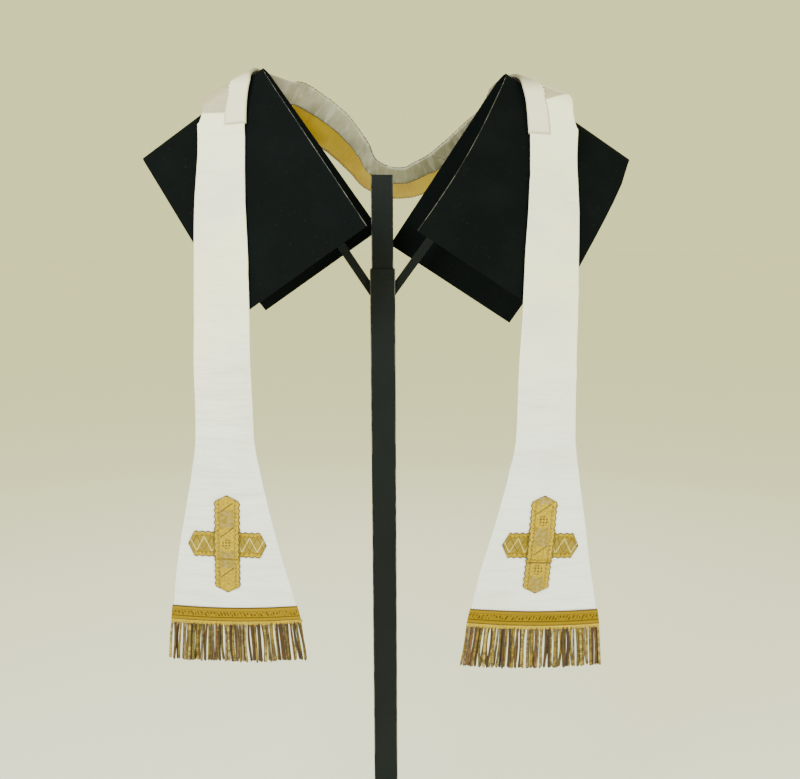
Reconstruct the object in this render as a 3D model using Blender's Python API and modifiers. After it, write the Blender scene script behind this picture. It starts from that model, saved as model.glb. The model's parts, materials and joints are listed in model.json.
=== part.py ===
"""Clerical stole of the Roman cut, hung over a two-winged display stand.

Metres, +Z up, the front of the stole faces -Y, and "left" is the side at -X. The origin
is on the floor, under the middle of the object. The stole is drawn flat first: q runs
along its centre line, from 0 on the shoulder ridge down the front (positive) and round
the neck to the seam at the centre back (negative), and w runs across it, positive away
from the neck. strip_point() then lays that flat strip over the stand.
"""
from collections import namedtuple
import math

import bmesh
import bpy
import numpy as np

# Stand: a square post on a plate, two struts, two sheets bent over sloping ridges
SHOULDER_HEIGHT = 1.450
HALF_SPAN = 0.3425           # centre line to the outer end of either ridge
RIDGE_DEPTH = -0.024         # the ridges' inner ends, seen from above
RIDGE_LENGTH = 0.208
PANEL_FALL = 0.2725          # flat part of a wing, from its bend to its lower edge
SHEET_THICKNESS = 0.002
BEND_STEPS = 12
BOW_STEPS = 8

POST_X = -0.0065
LOWER_TUBE = 0.035
LOWER_TUBE_TOP = 1.179
UPPER_TUBE = 0.030
UPPER_TUBE_TOP = 1.312
UPPER_TUBE_HELD = 0.080      # length hidden inside the lower tube
TUBE_WALL = 0.002
STRUT_WIDTH = 0.012
STRUT_THICKNESS = 0.006
STRUT_FOOT_HEIGHT = 1.150
STRUT_ALONG_RIDGE = 0.046
BASE_SIDE = 0.390
BASE_THICKNESS = 0.008
BASE_ROUNDING = 0.003

# extra is how far the back sheet reaches past the ridge's inner end, bow how far the inner
# edge of the front sheet curves in, and belly how far its outer edge curves out
Wing = namedtuple("Wing", "name side peak_rise slope toe front_lean back_lean bend extra bow belly")
WINGS = (
    Wing("left", -1, +0.005, 34.6, 1.9, 21.9, 16.0, 0.012, 0.005, 0.000, 0.000),
    Wing("right", 1, -0.005, 33.3, 3.1, 27.0, 9.5, 0.016, 0.007, 0.007, 0.006),
)

# Cloth: heights over the stand of the layers that lie on each other
GAP = 0.0003
CLOTH = 0.0010
GUARD_INSIDE = GAP
LINING = GUARD_INSIDE + CLOTH + GAP
SILK = LINING + CLOTH + GAP
TRIM = SILK + CLOTH + GAP

# How the strip lies on each side: where its middle crosses the ridge, how far its edges
# stand off there, where it leaves the wing's back, the degrees by which the hanging front
# drifts towards the post, the hem's slant and how far the neck guard comes down in front
Lie = namedtuple("Lie", "ridge_place inner_lift outer_lift leave drift hem_slant guard")
LIES = {
    "left": Lie(0.050, 0.002, 0.012, 0.062, 0.0, 0.020, 0.058),
    "right": Lie(0.050, 0.000, 0.021, 0.036, 2.0, 0.045, 0.070),
}
NECK_HALF_WIDTH = 0.0375
LIFT_SPREAD = 0.045
LEAVE_LENGTH = 0.040         # over which the strip parts from the wing's back
BEND_START = 0.330           # the strip leaves the wing's front and turns to hang
BEND_LENGTH = 0.090
HANG_TURN = 5.0              # degrees by which the hanging front faces outward
HANG_TURN_LENGTH = 0.200

# The strip from behind the ridge to the hem: its width, and on either side how far its middle
# lies off the centre line, away from the post
Fall = namedtuple("Fall", "q width left right")
FALLS = (
    Fall(-0.060, 0.0750, 0.0000, 0.0000),
    Fall(0.000, 0.0640, -0.0020, -0.0025),
    Fall(0.040, 0.0655, 0.0068, 0.0072),
    Fall(0.080, 0.0675, 0.0078, 0.0098),
    Fall(0.160, 0.0740, 0.0086, 0.0062),
    Fall(0.250, 0.0785, 0.0045, -0.0037),
    Fall(0.370, 0.0800, 0.0000, -0.0147),
    Fall(0.490, 0.0805, 0.0000, -0.0117),
    Fall(0.530, 0.0930, 0.0000, -0.0117),
    Fall(0.597, 0.1195, 0.0000, -0.0132),
    Fall(0.660, 0.1465, -0.0020, -0.0152),
    Fall(0.720, 0.1695, -0.0055, -0.0142),
    Fall(0.748, 0.1810, -0.0070, -0.0142),
)
HEM = 0.748
HEM_SAG = 0.004
GALLOON_HEIGHT = 0.021
GALLOON_OVERHANG = 0.001
FRINGE_LENGTH = 0.060
FRINGE_FLARE = 0.006
FRINGE_THICKNESS = 0.004
SEAM_GAP = 0.0003

# Sections of the neck loop from the left wing to the right: its upper edge, and the way
# its width points from there. splay turns it outward, lean tips its lower edge back.
Neck = namedtuple("Neck", "x y below splay lean")
NECK_SECTIONS = (
    Neck(-0.119, 0.004, 0.011, -31.0, 20.0),
    Neck(-0.094, 0.014, 0.025, -33.0, 27.0),
    Neck(-0.062, 0.026, 0.049, -36.0, 38.0),
    Neck(-0.045, 0.034, 0.069, -37.0, 44.0),
    Neck(-0.029, 0.041, 0.092, -33.0, 50.0),
    Neck(-0.018, 0.046, 0.115, -24.0, 56.0),
    Neck(0.005, 0.050, 0.127, -6.0, 56.0),
    Neck(0.028, 0.049, 0.128, 8.0, 56.0),
    Neck(0.043, 0.046, 0.121, 26.0, 52.0),
    Neck(0.063, 0.041, 0.111, 36.0, 47.0),
    Neck(0.086, 0.034, 0.093, 40.0, 42.0),
    Neck(0.103, 0.028, 0.078, 42.0, 36.0),
    Neck(0.120, 0.020, 0.063, 42.0, 28.0),
    Neck(0.134, 0.011, 0.050, 38.0, 22.0),
)
SEAM_SECTION = 6

Cross = namedtuple("Cross", "q w tilt height width band")
CROSSES = {
    "left": Cross(0.6360, 0.0010, 0.9, 0.137, 0.1085, 0.0365),
    "right": Cross(0.6330, -0.0117, -2.4, 0.137, 0.1035, 0.0365),
}
POINT_LENGTH = 0.009
POINT_WIDTH = 0.0016
RAMP = 0.003
SPLICE_PLACE = 0.68          # of the right upright's height, from its top

SQUARED_FRONT = 0.040        # over which the rows turn square to the strip below the bend
SQUARED_BACK = 0.140
GUARD_ROWS = 4
FRONT_ROWS = 22
NECK_ROWS = 18
CLOTH_COLUMNS = 7
GUARD_COLUMNS = 3            # of the cloth's columns, counted from the neck edge


def vector(*values):
    return np.array(values, dtype=float)


def unit(value):
    return value / np.linalg.norm(value)


def smooth(value):
    value = min(max(value, 0.0), 1.0)
    return value * value * (3.0 - 2.0 * value)


def lerp(first, second, share):
    return first + (second - first) * share


# ---------------------------------------------------------------- the stand's surfaces

Frame = namedtuple("Frame", "peak along front down")


def wing_frame(wing):
    """The wing's ridge line and the two directions square to it."""
    slope = math.radians(wing.slope)
    toe = math.radians(wing.toe)
    level = vector(wing.side * math.cos(toe), math.sin(toe), 0.0)
    along = level * math.cos(slope) - vector(0.0, 0.0, math.sin(slope))
    front = vector(wing.side * math.sin(toe), -math.cos(toe), 0.0)
    down = -unit(level * math.sin(slope) + vector(0.0, 0.0, math.cos(slope)))
    tip_x = wing.side * HALF_SPAN
    peak = vector(tip_x - along[0] * RIDGE_LENGTH, RIDGE_DEPTH, SHOULDER_HEIGHT + wing.peak_rise)
    return Frame(peak, along, front, down)


def wing_point(wing, along, across, height):
    """A point over the wing: along the ridge, across it (front positive), and its height."""
    frame = wing_frame(wing)
    facing = 1.0 if across >= 0.0 else -1.0
    lean = math.radians(wing.front_lean if across >= 0.0 else wing.back_lean)
    turn = math.pi / 2.0 - lean
    reach = abs(across)
    angle = min(reach / wing.bend, turn)
    out = -frame.down * math.cos(angle) + frame.front * facing * math.sin(angle)
    centre = frame.peak + frame.down * wing.bend + frame.along * along
    flat = max(reach - wing.bend * turn, 0.0)
    fall = frame.down * math.cos(lean) + frame.front * facing * math.sin(lean)
    return centre + out * (wing.bend + height) + fall * flat


def strip_turn(wing):
    """Angle between the strip and the square to the ridge that lets its front hang plumb."""
    lean = math.radians(wing.front_lean)
    return math.atan(math.cos(lean) * math.tan(math.radians(wing.slope)))


# ---------------------------------------------------------------- the strip laid over it

def on_wing(wing, q, w):
    turn = strip_turn(wing)
    lie = LIES[wing.name]
    along = lie.ridge_place + q * math.sin(turn) + w * math.cos(turn)
    across = q * math.cos(turn) - w * math.sin(turn)
    share = max(along, 0.0) / (lie.ridge_place + NECK_HALF_WIDTH)
    lift = lerp(lie.inner_lift, lie.outer_lift, share) * math.exp(-((across / LIFT_SPREAD) ** 2))
    return wing_point(wing, along, across, lift)


def hanging(wing, q, w):
    """Below the wing the strip bends from its lean to the plumb and turns a little."""
    start = on_wing(wing, BEND_START, 0.0)
    heading = unit(start - on_wing(wing, BEND_START - 0.01, 0.0))
    across = unit(on_wing(wing, BEND_START, 0.01) - start)
    lean = math.acos(min(-heading[2], 1.0))
    outward = unit(vector(heading[0], heading[1], 0.0))
    run = q - BEND_START
    bent = min(run, BEND_LENGTH)
    radius = BEND_LENGTH / lean
    angle = lean - bent / radius
    centre = start + vector(0.0, 0.0, -radius * (math.sin(lean) - math.sin(angle)))
    centre = centre + outward * radius * (math.cos(angle) - math.cos(lean))
    centre = centre - vector(0.0, 0.0, max(run - BEND_LENGTH, 0.0))
    centre = centre - vector(wing.side * run * math.tan(math.radians(LIES[wing.name].drift)), 0.0, 0.0)
    turned = math.radians(HANG_TURN)
    level = vector(wing.side * math.cos(turned), math.sin(turned), 0.0)
    return centre + unit(lerp(across, level, smooth(run / HANG_TURN_LENGTH))) * w


def neck_edges(section):
    """Upper and lower edge of the loop at a section."""
    upper = vector(section.x, section.y, SHOULDER_HEIGHT - section.below)
    splay = math.radians(section.splay)
    lean = math.radians(section.lean)
    way = vector(math.sin(splay) * math.cos(lean), math.sin(lean), -math.cos(splay) * math.cos(lean))
    return upper, upper + way * (2.0 * NECK_HALF_WIDTH)


def wing_edges(wing, q):
    return on_wing(wing, q, -NECK_HALF_WIDTH), on_wing(wing, q, NECK_HALF_WIDTH)


def spline(points, place):
    """A smooth curve through the points, at a place counted in points."""
    index = min(max(int(place), 1), len(points) - 3)
    share = place - index
    before, first, second, after = points[index - 1:index + 3]
    start = (second - before) / 2.0
    end = (after - first) / 2.0
    cube = 2.0 * (first - second) + start + end
    square = 3.0 * (second - first) - 2.0 * start - end
    return ((cube * share + square) * share + start) * share + first


def neck_path(wing):
    """Edges at the sections of half the loop, and the length of cloth up to each place."""
    rows = [neck_edges(section) for section in NECK_SECTIONS]
    own = rows[:SEAM_SECTION + 2]
    if wing.side > 0:
        own = rows[:SEAM_SECTION - 2:-1]
    leave = LIES[wing.name].leave
    start = np.concatenate(wing_edges(wing, -leave))
    heading = (np.concatenate(wing_edges(wing, -leave - 0.001)) - start) / 0.001
    own = [np.concatenate(pair) for pair in own]
    reach = np.linalg.norm((own[0] - start).reshape(2, 3).mean(axis=0))
    edges = np.array([own[0] - 2.0 * reach * heading, start] + own)
    places = np.linspace(1.0, len(edges) - 2.0, 161)
    middles = np.array([spline(edges, place).reshape(2, 3).mean(axis=0) for place in places])
    steps = np.linalg.norm(np.diff(middles, axis=0), axis=1)
    lengths = leave + np.concatenate(([0.0], np.cumsum(steps)))
    return edges, places, lengths


PATHS = {wing.name: neck_path(wing) for wing in WINGS}


def neck_length(wing):
    return PATHS[wing.name][2][-1]


def round_neck(wing, q, w):
    edges, places, lengths = PATHS[wing.name]
    place = float(np.interp(-q, lengths, places))
    upper, lower = spline(edges, place).reshape(2, 3)
    return lerp(upper, lower, 0.5 + w / (2.0 * NECK_HALF_WIDTH))


def bare_point(wing, q, w):
    if q > BEND_START:
        return hanging(wing, q, w)
    gone = -q - LIES[wing.name].leave
    if gone <= 0.0:
        return on_wing(wing, q, w)
    return lerp(on_wing(wing, q, w), round_neck(wing, q, w), smooth(gone / LEAVE_LENGTH))


def strip_point(wing, q, w, height):
    """A point of the strip, raised by a height on its outer, silk face."""
    step = 0.0005
    ahead = bare_point(wing, q + step, w) - bare_point(wing, q - step, w)
    across = bare_point(wing, q, w + step) - bare_point(wing, q, w - step)
    normal = unit(np.cross(ahead, across)) * wing.side
    return bare_point(wing, q, w) + normal * height


def strip_edges(wing, q):
    """The strip's inner and outer edge, as w, at a place along it."""
    if q <= FALLS[0].q:
        return -NECK_HALF_WIDTH, NECK_HALF_WIDTH
    points = [vector(row.width / 2.0, getattr(row, wing.name)) for row in FALLS]
    points = [points[0]] + points + [2.0 * points[-1] - points[-2]]
    place = float(np.interp(q, [row.q for row in FALLS], range(1, len(FALLS) + 1)))
    half, middle = spline(points, place)
    return middle - half, middle + half


# ---------------------------------------------------------------- making objects

def clear_scene():
    for item in list(bpy.data.objects):
        bpy.data.objects.remove(item, do_unlink=True)


def material(name, colour, roughness, metallic=0.0):
    made = bpy.data.materials.new(name)
    made.use_nodes = True
    shader = made.node_tree.nodes["Principled BSDF"]
    shader.inputs["Base Color"].default_value = (*colour, 1.0)
    shader.inputs["Roughness"].default_value = roughness
    shader.inputs["Metallic"].default_value = metallic
    return made


def finish_mesh(name, mesh, look, smooth_sides=False):
    data = bpy.data.meshes.new(name)
    mesh.to_mesh(data)
    mesh.free()
    data.materials.append(look)
    if smooth_sides:
        data.shade_smooth()
    made = bpy.data.objects.new(name, data)
    COLLECTION.objects.link(made)
    return made


def thicken(item, thickness, towards):
    """Solidify a sheet: towards is +1 along its normals, -1 against them, 0 both ways."""
    shell = item.modifiers.new("thickness", "SOLIDIFY")
    shell.thickness = thickness
    shell.offset = towards
    shell.use_even_offset = False
    return item


def grid_sheet(name, rows, columns, place, look, flip):
    """A grid of rows by columns whose points are moved to place(row share, column share)."""
    mesh = bmesh.new()
    bmesh.ops.create_grid(mesh, x_segments=columns, y_segments=rows, size=0.5)
    for point in mesh.verts:
        point.co = place(point.co.y + 0.5, point.co.x + 0.5)
    bmesh.ops.triangulate(mesh, faces=mesh.faces, quad_method="SHORT_EDGE")
    if flip:
        bmesh.ops.reverse_faces(mesh, faces=mesh.faces)
    return finish_mesh(name, mesh, look, smooth_sides=True)


def box(name, size, centre, look):
    mesh = bmesh.new()
    bmesh.ops.create_cube(mesh, size=1.0)
    bmesh.ops.scale(mesh, vec=size, verts=mesh.verts)
    bmesh.ops.translate(mesh, vec=centre, verts=mesh.verts)
    return finish_mesh(name, mesh, look)


def square_tube(name, side, low, high, capped, look):
    """A square tube: four walls made thick inward, with a lid at its top if capped."""
    mesh = bmesh.new()
    bmesh.ops.create_cube(mesh, size=1.0)
    bmesh.ops.scale(mesh, vec=(side, side, high - low), verts=mesh.verts)
    bmesh.ops.translate(mesh, vec=(POST_X, 0.0, (low + high) / 2.0), verts=mesh.verts)
    ends = [face for face in mesh.faces if abs(face.normal.z) > 0.5]
    ends = [face for face in ends if not (capped and face.normal.z > 0.5)]
    bmesh.ops.delete(mesh, geom=ends, context="FACES")
    tube = thicken(finish_mesh(name, mesh, look), TUBE_WALL, -1.0)
    tube.modifiers["thickness"].use_even_offset = True
    return tube


# ---------------------------------------------------------------- the stand

def make_base(look):
    centre = (POST_X, 0.0, BASE_THICKNESS / 2.0)
    plate = box("base_plate", (BASE_SIDE, BASE_SIDE, BASE_THICKNESS), centre, look)
    rounding = plate.modifiers.new("rounding", "BEVEL")
    rounding.width = BASE_ROUNDING
    rounding.segments = 2
    rounding.limit_method = "ANGLE"


def make_post(look):
    square_tube("post_lower", LOWER_TUBE, BASE_THICKNESS + GAP, LOWER_TUBE_TOP, False, look)
    low = LOWER_TUBE_TOP - UPPER_TUBE_HELD
    square_tube("post_upper", UPPER_TUBE, low, UPPER_TUBE_TOP, True, look)


def down_front(wing, across):
    """Share of the front sheet's fall, 0 at the bend and 1 at its foot."""
    return min(max(across - wing.bend * math.pi / 2.0, 0.0) / PANEL_FALL, 1.0)


def inner_end(wing, across):
    """Where a wing's inner edge lies along the ridge: its back reaches in, its front bows."""
    back = min(max(0.5 - across / (wing.bend * math.pi), 0.0), 1.0)
    return wing.bow * math.sin(math.pi * down_front(wing, across)) - wing.extra * back


def outer_end(wing, across):
    """Where a wing's outer edge lies along the ridge: its front bellies out near the top."""
    return RIDGE_LENGTH + wing.belly * math.sin(math.pi * math.sqrt(down_front(wing, across)))


def make_wing(wing, look):
    """A sheet bent over the ridge: an arc between two flats."""
    front_turn = math.pi / 2.0 - math.radians(wing.front_lean)
    back_turn = math.pi / 2.0 - math.radians(wing.back_lean)
    outer = np.linspace(-back_turn, front_turn, BEND_STEPS + 1) * wing.bend
    flat = np.linspace(outer[-1], outer[-1] + PANEL_FALL, BOW_STEPS + 1)[1:]
    stops = [outer[0] - PANEL_FALL, *outer, *flat]

    def place(row, column):
        across = stops[round(row * (len(stops) - 1))]
        along = lerp(inner_end(wing, across), outer_end(wing, across), column)
        return wing_point(wing, along, across, 0.0)

    sheet = grid_sheet(f"wing_{wing.name}", len(stops) - 1, 1, place, look, wing.side > 0)
    thicken(sheet, SHEET_THICKNESS, -1.0)


def make_strut(wing, look):
    """A flat bar from the post's side up to the inside of the ridge."""
    frame = wing_frame(wing)
    top = wing_point(wing, STRUT_ALONG_RIDGE, 0.0, -SHEET_THICKNESS)
    top = top + frame.down * (STRUT_THICKNESS * STRUT_THICKNESS / (8.0 * wing.bend) + 3.0 * GAP)
    face = POST_X + wing.side * (LOWER_TUBE / 2.0 + GAP)
    foot = vector(face, -0.003, STRUT_FOOT_HEIGHT)
    run = unit(foot - top)
    width = unit(frame.along - run * frame.along.dot(run))
    depth = np.cross(run, width)
    mesh = bmesh.new()
    bmesh.ops.create_cube(mesh, size=1.0)
    length = np.linalg.norm(foot - top) + STRUT_WIDTH
    for point in mesh.verts:
        local = np.array(point.co)
        place = top + run * (local[2] + 0.5) * length
        place = place + width * local[0] * STRUT_WIDTH + depth * local[1] * STRUT_THICKNESS
        point.co = place
    geometry = mesh.verts[:] + mesh.edges[:] + mesh.faces[:]
    cut = bmesh.ops.bisect_plane(
        mesh, geom=geometry, plane_co=foot, plane_no=(wing.side, 0.0, 0.0), clear_inner=True)
    rim = [item for item in cut["geom_cut"] if isinstance(item, bmesh.types.BMEdge)]
    bmesh.ops.contextual_create(mesh, geom=rim)
    bmesh.ops.recalc_face_normals(mesh, faces=mesh.faces)
    finish_mesh(f"strut_{wing.name}", mesh, look)


# ---------------------------------------------------------------- the cloth

def bend_reach(wing):
    """How far the ridge's bend reaches along the strip, on either side of the ridge."""
    return wing.bend * math.pi / 2.0 / math.cos(strip_turn(wing))


def skew_at(wing, q):
    """Rows lie along the ridge where the strip crosses it, and square across elsewhere."""
    run = SQUARED_FRONT if q >= 0.0 else SQUARED_BACK
    return math.tan(strip_turn(wing)) * (1.0 - smooth((abs(q) - bend_reach(wing)) / run))


def row_stops(wing):
    """Places of the rows along the centre line, closest together over the bend."""
    bend = bend_reach(wing)
    guard = LIES[wing.name].guard
    over = np.linspace(-bend, bend, BEND_STEPS + 1)
    under_guard = np.linspace(bend, guard, GUARD_ROWS + 1)[1:]
    down = np.linspace(guard, HEM, FRONT_ROWS + 1)[1:]
    round_back = np.linspace(-bend, -neck_length(wing) + SEAM_GAP / 2.0, NECK_ROWS + 1)[1:]
    return np.concatenate((round_back[::-1], over, under_guard, down))


def row_place(wing, q, w):
    """Where a row starts at q and has run across to w: skewed, but not at the ends."""
    ends = min(1.0, (q + neck_length(wing)) / 0.10)
    inner, outer = strip_edges(wing, HEM)
    off_middle = (w - (inner + outer) / 2.0) / ((outer - inner) / 2.0)
    droop = LIES[wing.name].hem_slant * w - HEM_SAG * off_middle ** 2
    near_hem = smooth((q - HEM + 0.15) / 0.15)
    return q + w * skew_at(wing, q) * ends + droop * near_hem


def make_layer(name, wing, height, look):
    """Half the strip at a height, from its hem to the seam at the centre back."""
    stops = row_stops(wing)

    def place(row, column):
        q = stops[round(row * (len(stops) - 1))]
        w = lerp(*strip_edges(wing, q), column)
        return strip_point(wing, row_place(wing, q, w), w, height)

    sheet = grid_sheet(name, len(stops) - 1, CLOTH_COLUMNS, place, look, wing.side > 0)
    return thicken(sheet, CLOTH, 1.0)


def make_guard(look):
    """The neck guard: one strip folded over the neck edge, from front to front."""
    low = GUARD_INSIDE + CLOTH / 2.0
    high = TRIM + GAP + CLOTH / 2.0
    middle = (low + high) / 2.0
    shares = [column / CLOTH_COLUMNS for column in range(GUARD_COLUMNS, -1, -1)]
    profile = [(share, 0.0, low) for share in shares]
    profile.append((0.0, 2.0 * GAP + CLOTH / 2.0, low + CLOTH / 2.0))
    profile = profile + [(share, beyond, 2.0 * middle - height) for share, beyond, height in profile[::-1]]
    sides = []
    for wing in WINGS:
        front = LIES[wing.name].guard
        sides.append([(wing, q) for q in row_stops(wing) if q <= front])
    rows = sides[0][::-1] + sides[1][1:]

    def place(row, column):
        wing, q = rows[round(row * (len(rows) - 1))]
        share, beyond, height = profile[round(column * (len(profile) - 1))]
        w = lerp(*strip_edges(wing, q), share) - beyond
        return strip_point(wing, row_place(wing, q, w), w, height)

    sheet = grid_sheet("neck_guard", len(rows) - 1, len(profile) - 1, place, look, False)
    thicken(sheet, CLOTH, 0.0)


def make_galloon(wing, look):
    columns = 2 * CLOTH_COLUMNS

    def place(row, column):
        q = lerp(HEM - GALLOON_HEIGHT, HEM, row)
        inner, outer = strip_edges(wing, q)
        w = lerp(inner - GALLOON_OVERHANG, outer + GALLOON_OVERHANG, column)
        return strip_point(wing, row_place(wing, q, w), w, TRIM)

    sheet = grid_sheet(f"galloon_{wing.name}", 2, columns, place, look, wing.side > 0)
    thicken(sheet, CLOTH, 1.0)


def make_fringe(wing, look):
    columns = 2 * CLOTH_COLUMNS
    middle = SILK + CLOTH / 2.0
    inner, outer = strip_edges(wing, HEM)

    def place(row, column):
        flare = FRINGE_FLARE * row + GALLOON_OVERHANG
        w = lerp(inner - flare, outer + flare, column)
        start = row_place(wing, HEM, w) + GAP
        return strip_point(wing, start + row * FRINGE_LENGTH, w, middle)

    sheet = grid_sheet(f"fringe_{wing.name}", 3, columns, place, look, wing.side > 0)
    thicken(sheet, FRINGE_THICKNESS, 0.0)


def make_band(name, wing, cross, start, end, bar, pointed, height, look):
    """A strip of galloon in a cross: bar is 0 for the upright, 1 for the arms."""
    stops = [start, end]
    if pointed[0]:
        stops.append(start + POINT_LENGTH)
    if pointed[1]:
        stops.append(end - POINT_LENGTH)
    reach = cross.band / 2.0
    if bar == 0:
        ramps = (-reach - RAMP, -reach - GAP, reach + GAP, reach + RAMP)
        stops = stops + [stop for stop in ramps if start < stop < end]
    stops = sorted(stops)
    tilt = math.radians(cross.tilt)

    def place(row, column):
        stop = stops[round(row * (len(stops) - 1))]
        tip = (pointed[0] and stop == start) or (pointed[1] and stop == end)
        across = (column - 0.5) * (POINT_WIDTH if tip else cross.band)
        q, w = (across, stop) if bar else (stop, across)
        raised = height
        if bar == 0 and abs(stop) <= reach + 2.0 * GAP:
            raised = height + CLOTH + GAP
        turned_q = cross.q + q * math.cos(tilt) - w * math.sin(tilt)
        turned_w = cross.w + q * math.sin(tilt) + w * math.cos(tilt)
        return strip_point(wing, turned_q, turned_w, raised)

    sheet = grid_sheet(name, len(stops) - 1, 1, place, look, (wing.side > 0) != bool(bar))
    thicken(sheet, CLOTH, 1.0)


def make_cross(wing, look):
    cross = CROSSES[wing.name]
    half = cross.height / 2.0
    arm = cross.width / 2.0
    name = f"cross_{wing.name}"
    make_band(f"{name}_arms", wing, cross, -arm, arm, 1, (True, True), TRIM, look)
    if wing.name == "left":
        make_band(f"{name}_upright", wing, cross, -half, half, 0, (True, True), TRIM, look)
        return
    splice = -half + SPLICE_PLACE * cross.height
    make_band(f"{name}_upright", wing, cross, -half, splice - GAP / 2.0, 0, (True, False), TRIM, look)
    make_band(f"{name}_foot", wing, cross, splice + GAP / 2.0, half, 0, (False, True), TRIM, look)


clear_scene()
COLLECTION = bpy.data.collections.new("stole_on_stand")
bpy.context.scene.collection.children.link(COLLECTION)

black_steel = material("black_steel", (0.012, 0.014, 0.015), 0.55, 0.3)
ivory_silk = material("ivory_silk", (0.80, 0.79, 0.72), 0.45)
gold_lining = material("gold_lining", (0.60, 0.38, 0.07), 0.40)
guard_linen = material("guard_linen", (0.62, 0.60, 0.55), 0.60)
gold_galloon = material("gold_galloon", (0.55, 0.36, 0.08), 0.45, 0.3)
gold_fringe = material("gold_fringe", (0.38, 0.27, 0.12), 0.50, 0.2)

make_base(black_steel)
make_post(black_steel)
for each_wing in WINGS:
    make_wing(each_wing, black_steel)
    make_strut(each_wing, black_steel)
    make_layer(f"lining_{each_wing.name}", each_wing, LINING, gold_lining)
    make_layer(f"silk_{each_wing.name}", each_wing, SILK, ivory_silk)
    make_galloon(each_wing, gold_galloon)
    make_fringe(each_wing, gold_fringe)
    make_cross(each_wing, gold_galloon)
make_guard(guard_linen)
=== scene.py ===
"""Looks of the clerical stole on its two-winged stand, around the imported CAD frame.

Metres, +Z up, the front of the stole faces -Y. The stole is drawn flat, as in the part:
q runs along its centre line, from 0 on the shoulder ridge down the front (positive) and
round the neck to the centre-back seam (negative), and w runs across it, positive away from
the neck. Each layer of cloth, each trim and each cord of the fringe is made in those flat
sizes and laid over the stand by Strip.points().
"""

from collections import namedtuple
import json
import math

import bpy
from mathutils import Matrix, Vector
import numpy as np

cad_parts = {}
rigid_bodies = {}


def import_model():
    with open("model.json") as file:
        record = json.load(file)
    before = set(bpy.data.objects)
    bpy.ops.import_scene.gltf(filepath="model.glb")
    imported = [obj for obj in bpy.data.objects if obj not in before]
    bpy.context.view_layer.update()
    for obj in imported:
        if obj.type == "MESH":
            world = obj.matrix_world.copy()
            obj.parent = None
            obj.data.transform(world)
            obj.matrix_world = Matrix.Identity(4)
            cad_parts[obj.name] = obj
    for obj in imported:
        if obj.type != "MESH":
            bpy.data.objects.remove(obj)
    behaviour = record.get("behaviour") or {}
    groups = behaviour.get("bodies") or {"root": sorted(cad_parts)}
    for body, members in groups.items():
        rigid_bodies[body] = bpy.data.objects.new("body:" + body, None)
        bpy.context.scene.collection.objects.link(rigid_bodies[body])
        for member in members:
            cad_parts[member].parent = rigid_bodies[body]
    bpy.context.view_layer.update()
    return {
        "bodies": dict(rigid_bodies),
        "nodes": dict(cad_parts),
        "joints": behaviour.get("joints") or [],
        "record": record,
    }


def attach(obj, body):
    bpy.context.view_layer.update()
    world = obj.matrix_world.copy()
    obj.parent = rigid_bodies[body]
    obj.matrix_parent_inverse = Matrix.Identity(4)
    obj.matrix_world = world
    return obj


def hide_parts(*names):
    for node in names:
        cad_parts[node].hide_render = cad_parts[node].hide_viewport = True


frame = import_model()
DICE = np.random.default_rng(7)

# The stand, and how the strip lies on it: the part's own sizes
SHOULDER_HEIGHT = 1.450
HALF_SPAN = 0.3425
RIDGE_DEPTH = -0.024
RIDGE_LENGTH = 0.208
PANEL_FALL = 0.2725
SHEET_THICKNESS = 0.002

POST_X = -0.0065
LOWER_TUBE = 0.035
LOWER_TUBE_TOP = 1.179
UPPER_TUBE = 0.030
UPPER_TUBE_TOP = 1.312

Wing = namedtuple("Wing", "name side peak_rise slope toe front_lean back_lean bend extra bow")
WINGS = (
    Wing("left", -1, +0.005, 34.6, 1.9, 21.9, 16.0, 0.012, 0.005, 0.000),
    Wing("right", 1, -0.005, 33.3, 3.1, 27.0, 9.5, 0.016, 0.007, 0.007),
)

# Heights over the stand of the layers that lie on each other
GAP = 0.0003
CLOTH = 0.0010
GUARD_INSIDE = GAP
LINING = GUARD_INSIDE + CLOTH + GAP
SILK = LINING + CLOTH + GAP
TRIM = SILK + CLOTH + GAP

# How the strip lies on each side: where its middle crosses the ridge, how far its edges
# stand off there, where it leaves the wing's back, the degrees by which the hanging front
# drifts towards the post, the hem's slant and how far the neck guard comes down in front
Lie = namedtuple("Lie", "ridge_place inner_lift outer_lift leave drift hem_slant guard")
LIES = {
    "left": Lie(0.050, 0.002, 0.012, 0.062, 0.0, 0.020, 0.058),
    "right": Lie(0.050, 0.000, 0.021, 0.036, 2.0, 0.045, 0.070),
}
NECK_HALF_WIDTH = 0.0375
LIFT_SPREAD = 0.045
LEAVE_LENGTH = 0.040         # over which the strip parts from the wing's back
BEND_START = 0.330           # the strip leaves the wing's front and turns to hang
BEND_LENGTH = 0.090
HANG_TURN = 5.0              # degrees by which the hanging front faces outward
HANG_TURN_LENGTH = 0.200

# The strip from behind the ridge to the hem: its width, and on either side how far its middle
# lies off the centre line, away from the post
Fall = namedtuple("Fall", "q width left right")
FALLS = [Fall(*row) for row in (
    (-0.060, 0.0750, 0.0000, 0.0000), (0.000, 0.0640, -0.0020, -0.0025),
    (0.040, 0.0655, 0.0068, 0.0072), (0.080, 0.0675, 0.0078, 0.0098),
    (0.160, 0.0740, 0.0086, 0.0062), (0.250, 0.0785, 0.0045, -0.0037),
    (0.370, 0.0800, 0.0000, -0.0147), (0.490, 0.0805, 0.0000, -0.0117),
    (0.530, 0.0930, 0.0000, -0.0117), (0.597, 0.1195, 0.0000, -0.0132),
    (0.660, 0.1465, -0.0020, -0.0152), (0.720, 0.1695, -0.0055, -0.0142),
    (0.748, 0.1810, -0.0070, -0.0142),
)]
HEM = 0.748
HEM_SAG = 0.004
HEM_REACH = 0.15             # over which the rows take up the hem's slant and sag
SEAM_SQUARE = 0.10           # over which they turn square to the centre-back seam
GALLOON_HEIGHT = 0.021
GALLOON_OVERHANG = 0.001
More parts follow.
